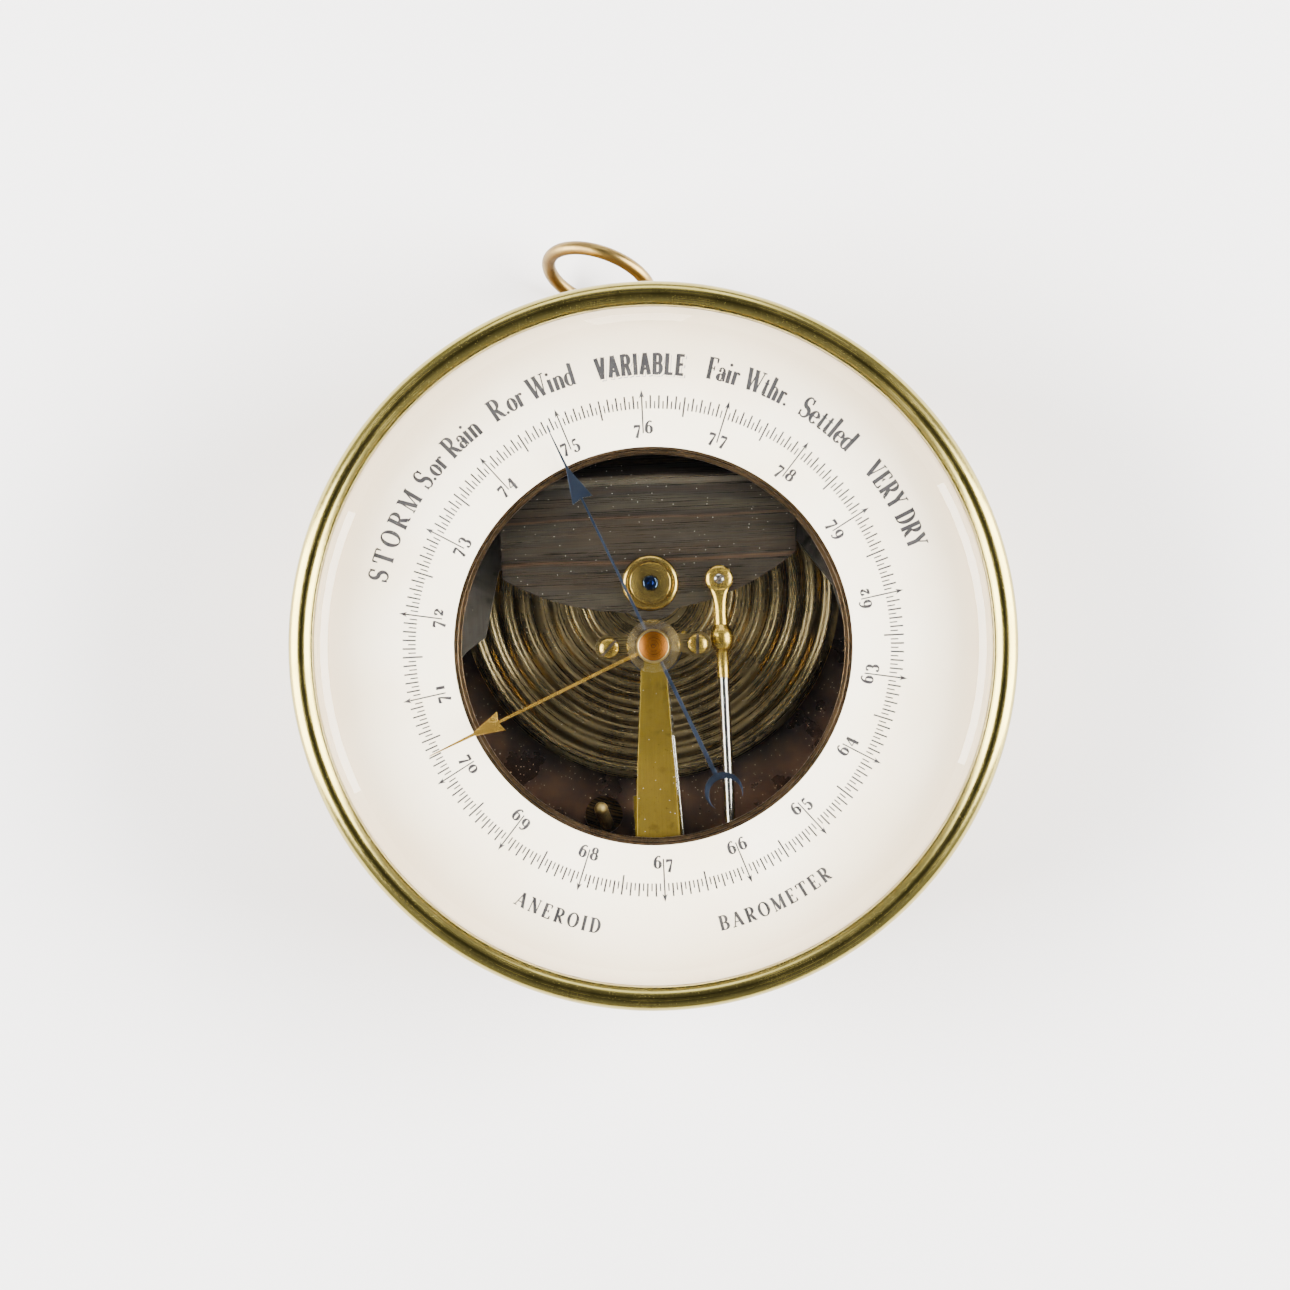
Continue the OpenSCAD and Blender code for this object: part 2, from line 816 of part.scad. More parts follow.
module bridge_arm() {
    color("goldenrod") translate([0, 0, arm_z]) linear_extrude(arm_t) difference() {
        union() {
            circle(2.45);
            polygon([[-2.6, -6.9], [-4.15, -25], [-4.7, -38.8], [3.25, -38.8],
                     [2.95, -25], [2.25, -6.9], [2.2, -0.5], [-2.3, -0.5]]);
        }
        circle(arbor_r + 0.3);
        for (x = arm_screw_x) translate([x, arm_screw_y]) circle(arm_screw_r);
    }
}

module arm_screws() {
    color("gold") for (x = arm_screw_x) translate([x, arm_screw_y, arm_top])
        screw(1.6, 0.5, arm_screw_r, arm_t + 5, 0.4);
}

module yoke_outline() {
    difference() {
        union() {
            for (s = [-1, 1]) translate([s * yoke_x, 0]) circle(2.4);
            translate([-yoke_x, -1.8]) square([2 * yoke_x, 3.8]);
            circle(3.4);
        }
        for (s = [-1, 1]) translate([s * 4.9, -3.4]) circle(2.1);
    }
}

module upper_yoke() {
    color("darkkhaki") translate([0, 0, upper_yoke_z]) linear_extrude(yoke_t) difference() {
        yoke_outline();
        circle(arbor_r + running);
        for (s = [-1, 1]) translate([s * yoke_x, 0]) circle(0.8);
    }
}

module lower_yoke() {
    color("darkkhaki") translate([0, 0, lower_yoke_z]) linear_extrude(yoke_t) difference() {
        yoke_outline();
        circle(lower_pivot_r + running);
    }
}

module yoke_pillars() {
    bottom = lower_yoke_z + yoke_t;
    color("gold") for (s = [-1, 1]) translate([s * yoke_x, 0, bottom]) difference() {
        cylinder(r = 1.3, h = upper_yoke_z - bottom);
        translate([0, 0, upper_yoke_z - bottom - 2]) cylinder(r = 0.8, h = 3);
    }
}

module yoke_screws() {
    color("gold") for (s = [-1, 1]) translate([s * yoke_x, 0, arm_z]) rotate([0, 0, 45 + 45 * s])
        screw(1.8, 1, 0.8, yoke_t + 2, 0.4);
}

module hairspring() {
    turns = 3.5;
    r0 = 1.5;
    r1 = 5.4;
    half = 0.08;
    n = 70;
    inner = [for (i = [0:n]) polar(r0 + (r1 - r0) * i / n - half, 200 + 360 * turns * i / n)];
    outer = [for (i = [0:n]) polar(r0 + (r1 - r0) * i / n + half, 200 + 360 * turns * i / n)];
    color("steelblue") translate([0, 0, 31.2]) linear_extrude(0.7)
        polygon(concat(inner, [for (i = [n:-1:0]) outer[i]]));
}

module hairspring_stud() {
    at = polar(5.95, 200 + 360 * 3.5);
    color("gold") translate([at[0], at[1], 31]) cylinder(r = 0.45, h = upper_yoke_z - 31);
}

case_drum();
case_back();
back_screws();
bezel();
glass();
glass_ring();
dial_spacer();
dial_card();
dial_plate();
dial_pillars();
hanging_eye();
eye_nut();
hanging_ring();
pointer();
pointer_hub();
arbor();
chain_drum();
hairspring_collet();
set_hand();
set_knob();
set_washer();
base_plate();
stop_post();
capsule_foot();
capsule_lower();
capsule_rim();
capsule_upper();
capsule_pillar();
collar();
pillar_pin();
carriage_posts();
pivot_screws();
carriage();
main_spring();
clamp_bar();
clamp_screws();
adjusting_screw();
lever_head();
lever_screw();
lever_rod();
lever_tip();
link();
shaft_brackets();
rocking_shaft();
crank();
chain_arm();
counterweight();
fusee_chain();
chain_wire();
arm_column();
bridge_arm();
arm_screws();
upper_yoke();
lower_yoke();
yoke_pillars();
yoke_screws();
hairspring();
hairspring_stud();
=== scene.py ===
import math

import bmesh
import bpy
from mathutils import Matrix, Vector


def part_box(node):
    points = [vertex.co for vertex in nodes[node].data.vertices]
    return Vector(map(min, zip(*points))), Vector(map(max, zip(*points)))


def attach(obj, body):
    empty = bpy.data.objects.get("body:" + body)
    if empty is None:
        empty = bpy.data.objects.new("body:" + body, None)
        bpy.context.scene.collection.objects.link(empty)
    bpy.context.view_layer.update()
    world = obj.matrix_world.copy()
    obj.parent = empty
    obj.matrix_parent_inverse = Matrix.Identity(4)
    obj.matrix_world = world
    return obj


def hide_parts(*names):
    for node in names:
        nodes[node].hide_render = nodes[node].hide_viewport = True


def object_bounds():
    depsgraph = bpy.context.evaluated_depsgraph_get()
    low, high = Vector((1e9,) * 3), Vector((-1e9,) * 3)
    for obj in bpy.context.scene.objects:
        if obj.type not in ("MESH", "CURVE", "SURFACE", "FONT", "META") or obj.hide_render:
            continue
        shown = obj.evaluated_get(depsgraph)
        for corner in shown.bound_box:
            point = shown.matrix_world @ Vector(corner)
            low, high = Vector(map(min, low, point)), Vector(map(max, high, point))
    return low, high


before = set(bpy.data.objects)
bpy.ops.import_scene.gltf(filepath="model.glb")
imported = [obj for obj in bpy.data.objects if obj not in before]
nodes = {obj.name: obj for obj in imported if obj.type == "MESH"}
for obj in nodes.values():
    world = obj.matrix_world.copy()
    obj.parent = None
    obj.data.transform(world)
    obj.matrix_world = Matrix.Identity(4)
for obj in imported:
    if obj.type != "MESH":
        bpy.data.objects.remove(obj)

cad_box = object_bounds()
MM = 0.001


def low(node):
    """Lowest corner of a CAD node, in millimetres."""
    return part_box(node)[0] / MM


def high(node):
    """Highest corner of a CAD node, in millimetres."""
    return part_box(node)[1] / MM


def middle(node):
    """Middle of a CAD node, in millimetres."""
    return (low(node) + high(node)) / 2


def show(obj):
    bpy.context.scene.collection.objects.link(obj)


# ---- Materials ----

class Paint:
    """A node material that is built up around one Principled shader."""

    def __init__(self, name):
        self.material = bpy.data.materials.new(name)
        self.material.use_nodes = True
        self.tree = self.material.node_tree
        self.tree.nodes.clear()
        self.output = self.add("ShaderNodeOutputMaterial")
        self.shader = self.add("ShaderNodeBsdfPrincipled")
        self.join(self.shader.outputs[0], self.output.inputs[0])
        self.where = self.add("ShaderNodeTexCoord").outputs["Object"]

    def add(self, kind, **settings):
        node = self.tree.nodes.new(kind)
        for key, value in settings.items():
            setattr(node, key, value)
        return node

    def join(self, source, target):
        self.tree.links.new(source, target)

    def feed(self, target, value):
        if isinstance(value, bpy.types.NodeSocket):
            self.join(value, target)
        else:
            target.default_value = value

    def sums(self, operation, *values):
        node = self.add("ShaderNodeMath", operation=operation)
        for target, value in zip(node.inputs, values):
            self.feed(target, value)
        return node.outputs[0]

    def scaled(self, size, turn=0.0):
        """Object coordinates counted in grains of size (x, y, z) mm, turned by degrees about the upright."""
        node = self.add("ShaderNodeMapping")
        node.inputs["Scale"].default_value = [1 / (MM * s) for s in size]
        node.inputs["Rotation"].default_value = (0, 0, math.radians(turn))
        self.join(self.where, node.inputs["Vector"])
        return node.outputs[0]

    def noise(self, size, detail=2.0, turn=0.0, vector=None, warp=0.0):
        node = self.add("ShaderNodeTexNoise")
        node.inputs["Scale"].default_value = 1.0
        node.inputs["Detail"].default_value = detail
        node.inputs["Distortion"].default_value = warp
        self.join(vector or self.scaled(size, turn), node.inputs["Vector"])
        return node.outputs["Fac"]

    def rings(self, size, centre=(0.0, 0.0)):
        """Noise that depends on the distance from an upright axis alone, in grains of size mm."""
        vector = self.add("ShaderNodeCombineXYZ")
        self.join(self.sums("DIVIDE", self.reach(centre), size), vector.inputs[0])
        self.join(self.sums("DIVIDE", self.height(), size), vector.inputs[1])
        return self.noise(None, 3.0, vector=vector.outputs[0])

    def reach(self, centre=(0.0, 0.0)):
        """Distance from an upright axis, in millimetres."""
        split = self.add("ShaderNodeSeparateXYZ")
        self.join(self.where, split.inputs[0])
        x = self.sums("SUBTRACT", split.outputs[0], centre[0] * MM)
        y = self.sums("SUBTRACT", split.outputs[1], centre[1] * MM)
        squares = self.sums("ADD", self.sums("MULTIPLY", x, x), self.sums("MULTIPLY", y, y))
        return self.sums("DIVIDE", self.sums("SQRT", squares), MM)

    def across(self, wander):
        """Distance from the dial's middle towards the hanging ring, wandering by this many mm."""
        split = self.add("ShaderNodeSeparateXYZ")
        self.join(self.where, split.inputs[0])
        drift = self.sums("SUBTRACT", self.noise((26, 26, 26), 1.0), 0.5)
        distance = self.sums("DIVIDE", split.outputs[1], MM)
        return self.sums("ADD", distance, self.sums("MULTIPLY", drift, wander))

    def height(self):
        """Height above the back, in millimetres."""
        split = self.add("ShaderNodeSeparateXYZ")
        self.join(self.where, split.inputs[0])
        return self.sums("DIVIDE", split.outputs[2], MM)

    def specks(self, spacing, share, radius):
        """1 in scattered round specks of radius mm, in that share of cells spacing mm wide."""
        node = self.add("ShaderNodeTexVoronoi")
        node.inputs["Scale"].default_value = 1.0
        self.join(self.scaled((spacing, spacing, spacing)), node.inputs["Vector"])
        split = self.add("ShaderNodeSeparateColor")
        self.join(node.outputs["Color"], split.inputs[0])
        edge = radius / spacing
        near = self.fade(node.outputs["Distance"], edge * 0.7, edge, 1.0, 0.0)
        return self.sums("MULTIPLY", near, self.sums("LESS_THAN", split.outputs[0], share))

    def ramp(self, value, *stops):
        """A colour ramp; each stop is (position, (r, g, b))."""
        node = self.add("ShaderNodeValToRGB")
        elements = node.color_ramp.elements
        while len(elements) < len(stops):
            elements.new(0.5)
        for element, (position, colour) in zip(elements, stops):
            element.position = position
            element.color = (*colour, 1.0)
        self.join(value, node.inputs[0])
        return node.outputs[0]

    def fade(self, value, start, end, low_value=0.0, high_value=1.0):
        """value from start to end, as low_value to high_value."""
        node = self.add("ShaderNodeMapRange")
        limits = (("From Min", start), ("From Max", end), ("To Min", low_value), ("To Max", high_value))
        for key, number in limits:
            node.inputs[key].default_value = number
        self.join(value, node.inputs[0])
        return node.outputs[0]

    def mix(self, share, first, second):
        node = self.add("ShaderNodeMix", data_type="RGBA")
        for target, value in zip((node.inputs[0], node.inputs[6], node.inputs[7]), (share, first, second)):
            self.feed(target, (*value, 1.0) if isinstance(value, tuple) else value)
        return node.outputs[2]

    def bump(self, height, depth, under=None):
        """Relief of depth mm from a height of 0 to 1."""
        node = self.add("ShaderNodeBump")
        node.inputs["Strength"].default_value = 1.0
        node.inputs["Distance"].default_value = depth * MM
        self.join(height, node.inputs["Height"])
        if under is not None:
            self.join(under, node.inputs["Normal"])
        return node.outputs[0]

    def finish(self, colour, roughness, normal=None, metal=0.0):
        self.feed(self.shader.inputs["Base Color"], colour)
        self.feed(self.shader.inputs["Roughness"], roughness)
        if normal is not None:
            self.join(normal, self.shader.inputs["Normal"])
        self.shader.inputs["Metallic"].default_value = metal
        return self.material


def metal(name, bright, dull, rough, grain="none", grain_mm=0.12, grain_depth=0.002,
          patina=0.5, pits=0.5, centre=(0.0, 0.0), scratch=0.05, dust=0.0, zone=None):
    """Worn metal: cloudy patina, dark pits, fine scratches, dust and lathe or brush marks.

    grain is none, rings (turned about centre), x or y (brushed along that axis). zone is
    ("reach" or "height", start, end, colour): past end, the metal has that colour instead.
    """
    p = Paint(name)
    cloud = p.fade(p.noise((9, 9, 9), 4.0, warp=0.6), 0.42, 0.68, 0.0, patina)
    colour = p.mix(cloud, bright, dull)
    if zone:
        measure = p.reach(centre) if zone[0] == "reach" else p.height()
        colour = p.mix(p.fade(measure, zone[1], zone[2]), colour, zone[3])
    stain = p.fade(p.noise((2.1, 2.1, 2.1), 3.0), 0.60, 0.74, 0.0, patina * 0.7)
    colour = p.mix(stain, colour, tuple(c * 0.55 for c in dull))
    spots = p.fade(p.noise((0.28, 0.28, 0.28), 1.0), 0.70, 0.78, 0.0, pits)
    colour = p.mix(spots, colour, tuple(c * 0.18 for c in dull))
    hair = p.noise((0.07, 5, 5), 1.0, turn=24)
    hair_two = p.noise((6, 0.08, 6), 1.0, turn=-11)
    lines = p.fade(p.sums("MAXIMUM", hair, hair_two), 0.62, 0.80)
    roughness = p.sums("ADD", rough, p.sums("MULTIPLY", cloud, 0.16))
    roughness = p.sums("ADD", roughness, p.sums("MULTIPLY", spots, 0.3))
    roughness = p.sums("ADD", roughness, p.sums("MULTIPLY", lines, scratch))
    normal = p.bump(p.noise((3, 3, 3), 2.0), 0.012)
    normal = p.bump(spots, -0.008, normal)
    if grain != "none":
        size = {"x": (14, grain_mm, grain_mm), "y": (grain_mm, 14, grain_mm)}
        marks = p.rings(grain_mm, centre) if grain == "rings" else p.noise(size[grain], 3.0)
        colour = p.mix(p.fade(marks, 0.35, 0.75, 0.0, 0.35), colour, tuple(c * 0.6 for c in bright))
        roughness = p.sums("ADD", roughness, p.fade(marks, 0.3, 0.7, -0.06, 0.08))
        normal = p.bump(marks, grain_depth, normal)
    if dust > 0:
        motes = p.specks(0.8, dust, 0.09)
        colour = p.mix(motes, colour, (0.55, 0.50, 0.42))
        roughness = p.sums("ADD", roughness, p.sums("MULTIPLY", motes, 0.4))
    return p.finish(colour, roughness, normal, 1.0)


BRASS = (0.36, 0.25, 0.052)
BRASS_DULL = (0.23, 0.15, 0.032)
BRONZE = (0.085, 0.055, 0.03)


def spring_material(name):
    """Spring steel: mottled bands across the leaf, with painted reflections, painted shadows, a painted
    highlight on the bend and painted shade where it bends down, laid out by distance towards the hanging
    ring; brush lines along it, dust.
    """
    p = Paint(name)
    bands = p.noise((80, 5.2, 40), 3.0, turn=2, warp=0.35)
    colour = p.ramp(bands, (0.30, (0.040, 0.035, 0.030)), (0.42, (0.080, 0.068, 0.055)),
                    (0.50, (0.098, 0.064, 0.042)), (0.57, (0.062, 0.056, 0.050)), (0.68, (0.15, 0.13, 0.095)))
    # Laid out by distance towards the hanging ring: painted orange reflections, each followed by a painted
    # dark shadow, then a painted highlight on the bend and painted shade where the leaf bends down into the
    # case.
    along = p.fade(p.across(wander=2.2), 6.0, 34.0)
    plain = (0.078, 0.064, 0.047)
    front_reflection_and_shadow = [(0.31, plain), (0.335, (0.17, 0.090, 0.048)), (0.35, (0.05, 0.04, 0.03)), (0.40, plain)]
    rear_reflection_and_shadow = [(0.60, plain), (0.615, (0.15, 0.085, 0.050)), (0.63, (0.04, 0.032, 0.026)), (0.68, plain)]
    bend_highlight = [(0.82, (0.05, 0.045, 0.04)), (0.85, (0.25, 0.22, 0.16)), (0.885, (0.22, 0.19, 0.14))]
    bend_shade = [(0.90, (0.020, 0.021, 0.022)), (1.0, (0.014, 0.014, 0.014))]
    painted_light_bands = p.ramp(along, (0.0, plain), *front_reflection_and_shadow, *rear_reflection_and_shadow, *bend_highlight, *bend_shade)
    colour = p.mix(0.65, colour, painted_light_bands)
    brush = p.noise((22, 0.16, 3), 4.0, turn=3)
    colour = p.mix(p.fade(brush, 0.35, 0.7, 0.0, 0.5), colour, (0.04, 0.034, 0.03))
    motes = p.specks(0.9, 0.45, 0.095)
    colour = p.mix(motes, colour, (0.50, 0.46, 0.40))
    roughness = p.fade(brush, 0.3, 0.75, 0.24, 0.38)
    normal = p.bump(p.noise((60, 6, 30), 1.0, turn=2), 0.35)
    normal = p.bump(brush, 0.004, normal)
    return p.finish(colour, roughness, normal, 1.0)


def lacquer_material(name):
    """Dark chocolate lacquer with two sizes of pale dust."""
    p = Paint(name)
    cloud = p.noise((7, 7, 7), 4.0)
    colour = p.ramp(cloud, (0.35, (0.022, 0.009, 0.004)), (0.65, (0.070, 0.030, 0.011)))
    fine = p.specks(0.7, 0.75, 0.10)
    coarse = p.specks(2.3, 0.45, 0.16)
    motes = p.sums("MAXIMUM", fine, coarse)
    colour = p.mix(p.sums("MULTIPLY", motes, 0.8), colour, (0.50, 0.42, 0.31))
    roughness = p.fade(cloud, 0.3, 0.7, 0.22, 0.42)
    normal = p.bump(p.noise((1.6, 1.6, 1.6), 3.0), 0.02)
    p.shader.inputs["Coat Weight"].default_value = 0.3
    p.shader.inputs["Coat Roughness"].default_value = 0.2
    return p.finish(colour, roughness, normal)


def card_material(name, bright, warm):
    """Enamelled white card: slightly mottled, darker and warmer towards its edge as painted shade near the
    case wall, with a few foxing spots.
    """
    p = Paint(name)
    cloud = p.noise((22, 22, 22), 3.0, warp=0.4)
    colour = p.mix(p.fade(cloud, 0.35, 0.70), bright, warm)
    # From 44 to 60 mm out the card turns darker and warmer: painted shade near the case wall.
    painted_edge_shade = p.fade(p.reach(), 44.0, 60.0, 0.0, 0.75)
    colour = p.mix(painted_edge_shade, colour, (0.56, 0.45, 0.31))
    foxing = p.fade(p.noise((0.5, 0.5, 0.5), 2.0), 0.72, 0.80, 0.0, 0.5)
    colour = p.mix(foxing, colour, (0.36, 0.28, 0.19))
    fibre = p.noise((0.3, 0.3, 0.3), 3.0)
    roughness = p.fade(fibre, 0.3, 0.7, 0.40, 0.55)
    return p.finish(colour, roughness, p.bump(fibre, 0.006))


def ink_material(name, colour):
    """Printing ink, a little thin in places."""
    p = Paint(name)
    wear = p.fade(p.noise((0.35, 0.35, 0.35), 3.0), 0.62, 0.80, 0.0, 0.55)
    pale = tuple(min(1.0, c + 0.10) for c in colour)
    mixed = p.mix(wear, colour, pale)
    return p.finish(mixed, p.fade(wear, 0.0, 0.5, 0.42, 0.60), p.bump(wear, 0.004))


def glass_material(name, rough):
    """Old plate glass with very fine polishing waves; lamps shine through it."""
    p = Paint(name)
    waves = p.noise((9, 9, 9), 2.0)
    tint = p.mix(waves, (0.985, 0.99, 0.98), (0.97, 0.985, 0.975))
    p.shader.inputs["Transmission Weight"].default_value = 1.0
    p.shader.inputs["IOR"].default_value = 1.5
    if rough > 0:
        fine = p.noise((0.25, 0.25, 0.25), 3.0)
        p.finish(tint, p.fade(fine, 0.3, 0.7, rough * 0.8, rough * 1.2), p.bump(fine, 0.01))
    else:
        p.feed(p.shader.inputs["Base Color"], tint)
        p.shader.inputs["Roughness"].default_value = 0.0
    path = p.add("ShaderNodeLightPath")
    clear = p.add("ShaderNodeBsdfTransparent")
    blend = p.add("ShaderNodeMixShader")
    p.join(path.outputs["Is Shadow Ray"], blend.inputs[0])
    p.join(p.shader.outputs[0], blend.inputs[1])
    p.join(clear.outputs[0], blend.inputs[2])
    p.join(blend.outputs[0], p.output.inputs[0])
    return p.material


capsule_y = middle("capsule_rim").y
collar_y = middle("collar").y
back_inside = high("case_back").z
LOOKS = {
    "bezel": metal("bezel_brass", (0.42, 0.35, 0.10), (0.23, 0.17, 0.045), 0.18, "rings", 0.16, 0.0016, 0.4),
    "drum": metal("drum_brass", (0.38, 0.25, 0.075), (0.22, 0.14, 0.045), 0.22, "rings", 0.3, 0.004, 0.9),
    # The back's inner face, from back_inside - 0.1 upwards, is painted near-black: painted shade inside the
    # closed case.
    "back": metal("back_brass", (0.58, 0.38, 0.12), (0.30, 0.18, 0.06), 0.28, "rings", 0.2, 0.004, 0.9,
                  zone=("height", back_inside - 0.3, back_inside - 0.1, (0.02, 0.012, 0.008))),
    "bright": metal("bright_brass", BRASS, BRASS_DULL, 0.24, patina=0.45),
    "post": metal("post_brass", (0.50, 0.38, 0.15), (0.36, 0.27, 0.11), 0.5, patina=0.5),
    "ring": metal("ring_brass", (0.27, 0.185, 0.06), (0.16, 0.10, 0.035), 0.3, patina=0.9),
    "hand": metal("hand_brass", (0.58, 0.36, 0.07), (0.36, 0.20, 0.04), 0.24, patina=0.4),
    "knob": metal("knob_brass", (0.44, 0.165, 0.03), (0.30, 0.11, 0.022), 0.26, "rings", 0.10, 0.003, 0.5,
                  zone=("reach", 2.55, 2.65, (0.55, 0.42, 0.18))),
    "collar": metal("collar_brass", (0.47, 0.34, 0.09), (0.30, 0.21, 0.06), 0.16, "rings", 0.10, 0.002, 0.35,
                    centre=(0.0, collar_y)),
    "brushed": metal("brushed_brass", (0.130, 0.090, 0.013), (0.085, 0.056, 0.009), 0.33, "y", 0.14, 0.016,
                     0.6, dust=0.3),
    "brushed_x": metal("brushed_brass_cross", (0.15, 0.115, 0.05), (0.10, 0.075, 0.035), 0.26, "x", 0.10,
                       0.005, 0.5, dust=0.1),
    "bronze": metal("dial_bronze", BRONZE, (0.05, 0.032, 0.018), 0.26, "rings", 0.12, 0.004, 0.6),
    "blued": metal("blued_steel", (0.036, 0.048, 0.076), (0.030, 0.037, 0.052), 0.28, patina=0.5, pits=0.3),
    "blue_pin": metal("blue_pin", (0.035, 0.075, 0.22), (0.02, 0.04, 0.11), 0.12, patina=0.3, pits=0.2),
    "steel": metal("steel", (0.42, 0.405, 0.375), (0.24, 0.22, 0.19), 0.13, "y", 0.12, 0.003, 0.35, 0.4),
    "iron": metal("dark_iron", (0.15, 0.135, 0.115), (0.06, 0.05, 0.04), 0.34, "y", 0.16, 0.012, 0.8, 0.6,
                  dust=0.08),
    "capsule": metal("capsule_metal", (0.18, 0.14, 0.07), (0.10, 0.075, 0.038), 0.25, "rings", 0.3, 0.0012,
                     0.5, 0.4, centre=(0.0, capsule_y), dust=0.2),
    "spring": spring_material("spring_steel"),
    "lacquer": lacquer_material("base_lacquer"),
    "card": card_material("dial_card_white", (0.87, 0.79, 0.65), (0.81, 0.70, 0.53)),
    "white": card_material("spacer_white", (0.86, 0.79, 0.68), (0.80, 0.72, 0.59)),
    "ink": ink_material("dial_ink", (0.012, 0.011, 0.013)),
    "shadow_ink": ink_material("shadow_ink", (0.24, 0.23, 0.23)),
    # Dark brown for the faces inside screw slots: painted shade in the slots.
    "painted_slot_shade": ink_material("slot_painted_shade", (0.035, 0.024, 0.014)),
    "glass": glass_material("clear_glass", 0.0),
    "ground": glass_material("ground_glass", 0.2),
}

NODE_LOOKS = {
    "drum": ["case_drum"],
    "ring": ["hanging_eye", "hanging_ring"],
    "post": ["stop_post"],
    "back": ["case_back"],
    "bezel": ["bezel"],
    "bright": ["back_screws", "eye_nut", "glass_ring", "dial_pillars", "pointer_hub", "chain_drum",
               "hairspring_collet", "set_washer", "capsule_pillar", "carriage_posts",
               "adjusting_screw", "lever_head", "lever_tip", "shaft_brackets", "crank", "counterweight",
               "arm_screws", "yoke_pillars", "yoke_screws", "hairspring_stud"],
    "hand": ["set_hand"],
    "knob": ["set_knob"],
    "collar": ["collar"],
    "brushed": ["arm_column", "bridge_arm"],
    "brushed_x": ["upper_yoke", "lower_yoke"],
    "bronze": ["dial_plate"],
    "blued": ["pointer", "hairspring"],
    "blue_pin": ["pillar_pin"],
    "steel": ["arbor", "lever_screw", "lever_rod", "link", "rocking_shaft", "chain_arm", "fusee_chain",
              "chain_wire", "pivot_screws", "clamp_screws"],
    "iron": ["carriage", "clamp_bar"],
    "capsule": ["capsule_foot", "capsule_lower", "capsule_rim", "capsule_upper"],
    "spring": ["main_spring"],
    "lacquer": ["base_plate"],
    "card": ["dial_card"],
    "white": ["dial_spacer"],
    "glass": ["glass"],
}


def soften(node, width):
    """Rounds the sharp edges of a CAD node by width mm, so that they catch the light."""
    weld = node.modifiers.new("weld", "WELD")
    weld.merge_threshold = 0.001 * MM
    edge = node.modifiers.new("edges", "BEVEL")
    edge.width = width * MM
    edge.segments = 2
    edge.limit_method = "ANGLE"
    edge.angle_limit = math.radians(40)
    edge.harden_normals = True


for look, names in NODE_LOOKS.items():
    for name in names:
        mesh = nodes[name].data
        mesh.materials.clear()
        mesh.materials.append(LOOKS[look])

ROUNDED = {"pointer": 0.08, "set_hand": 0.08, "bridge_arm": 0.12, "arm_column": 0.12, "upper_yoke": 0.15,
           "main_spring": 0.16, "carriage": 0.2, "clamp_bar": 0.2, "dial_plate": 0.1}
for name, width in ROUNDED.items():
    soften(nodes[name], width)


# ---- Shapes ----

def piece(name, bm, look, body, replaced=(), crease=38):
    """Makes a bmesh into a smooth-shaded piece on a body, in place of CAD nodes."""
    bmesh.ops.recalc_face_normals(bm, faces=bm.faces)
    mesh = bpy.data.meshes.new(name)
    bm.to_mesh(mesh)
    bm.free()
    mesh.polygons.foreach_set("use_smooth", [True] * len(mesh.polygons))
    mesh.set_sharp_from_angle(angle=math.radians(crease))
    mesh.materials.append(LOOKS[look])
    obj = bpy.data.objects.new(name, mesh)
    show(obj)
    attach(obj, body)
    for node in replaced:
        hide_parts(node)
    return obj


def lathe(profile, segments, centre=(0.0, 0.0)):
    """A closed profile of (radius, height) points turned about an upright axis."""
    bm = bmesh.new()
    rings = []
    for radius, height in profile:
        if radius < 1e-6:
            rings.append([bm.verts.new((centre[0] * MM, centre[1] * MM, height * MM))])
            continue
        ring = []
        for i in range(segments):
            a = 2 * math.pi * i / segments
            x = centre[0] + radius * math.cos(a)
            y = centre[1] + radius * math.sin(a)
            ring.append(bm.verts.new((x * MM, y * MM, height * MM)))
        rings.append(ring)
    for here, there in zip(rings, rings[1:] + rings[:1]):
        if len(here) == 1 and len(there) == 1:
            continue
        for i in range(segments):
            j = (i + 1) % segments
            corners = [here[i % len(here)], here[j % len(here)], there[j % len(there)], there[i % len(there)]]
            bm.faces.new(list(dict.fromkeys(corners)))
    return bm


def arc(cx, cz, radius, start, end, steps):
    """Points of an arc in a profile, by angle in degrees."""
    angles = [math.radians(start + (end - start) * i / steps) for i in range(steps + 1)]
    return [(cx + radius * math.cos(a), cz + radius * math.sin(a)) for a in angles]


# Bezel: a polished half-round bead over a straight skirt
bezel_r = high("bezel").x
bezel_top = high("bezel").z
skirt_low = low("bezel").z
drum_r = high("glass_ring").x
drum_top = low("glass_ring").z
glass_r = high("glass").x
glass_low = low("glass").z
bead_r = 2.2
bead_at = bezel_r - bead_r
bead_z = bezel_top - bead_r
lip_drop = 0.6
lip_z = bead_z - lip_drop
lip_in = bead_at - math.sqrt(bead_r ** 2 - lip_drop ** 2)
shoulder_r = drum_r + 2.4
shoulder_z = drum_top - 0.3
under = math.degrees(math.acos((shoulder_r - bead_at) / bead_r))
skirt_r = drum_r + 0.8
chamfer = 0.15
bezel_profile = (
    [(drum_r, lip_z), (lip_in + 0.25, lip_z), (lip_in, lip_z + 0.12)]
    + arc(bead_at, bead_z, bead_r, 190, -under, 44)
    + [(shoulder_r, shoulder_z + 0.12), (shoulder_r - 0.12, shoulder_z), (skirt_r, shoulder_z)]
    + [(skirt_r, skirt_low + chamfer), (skirt_r - chamfer, skirt_low), (drum_r, skirt_low)]
)
piece("bezel_ring", lathe(bezel_profile, 360), "bezel", "case", ["bezel"])

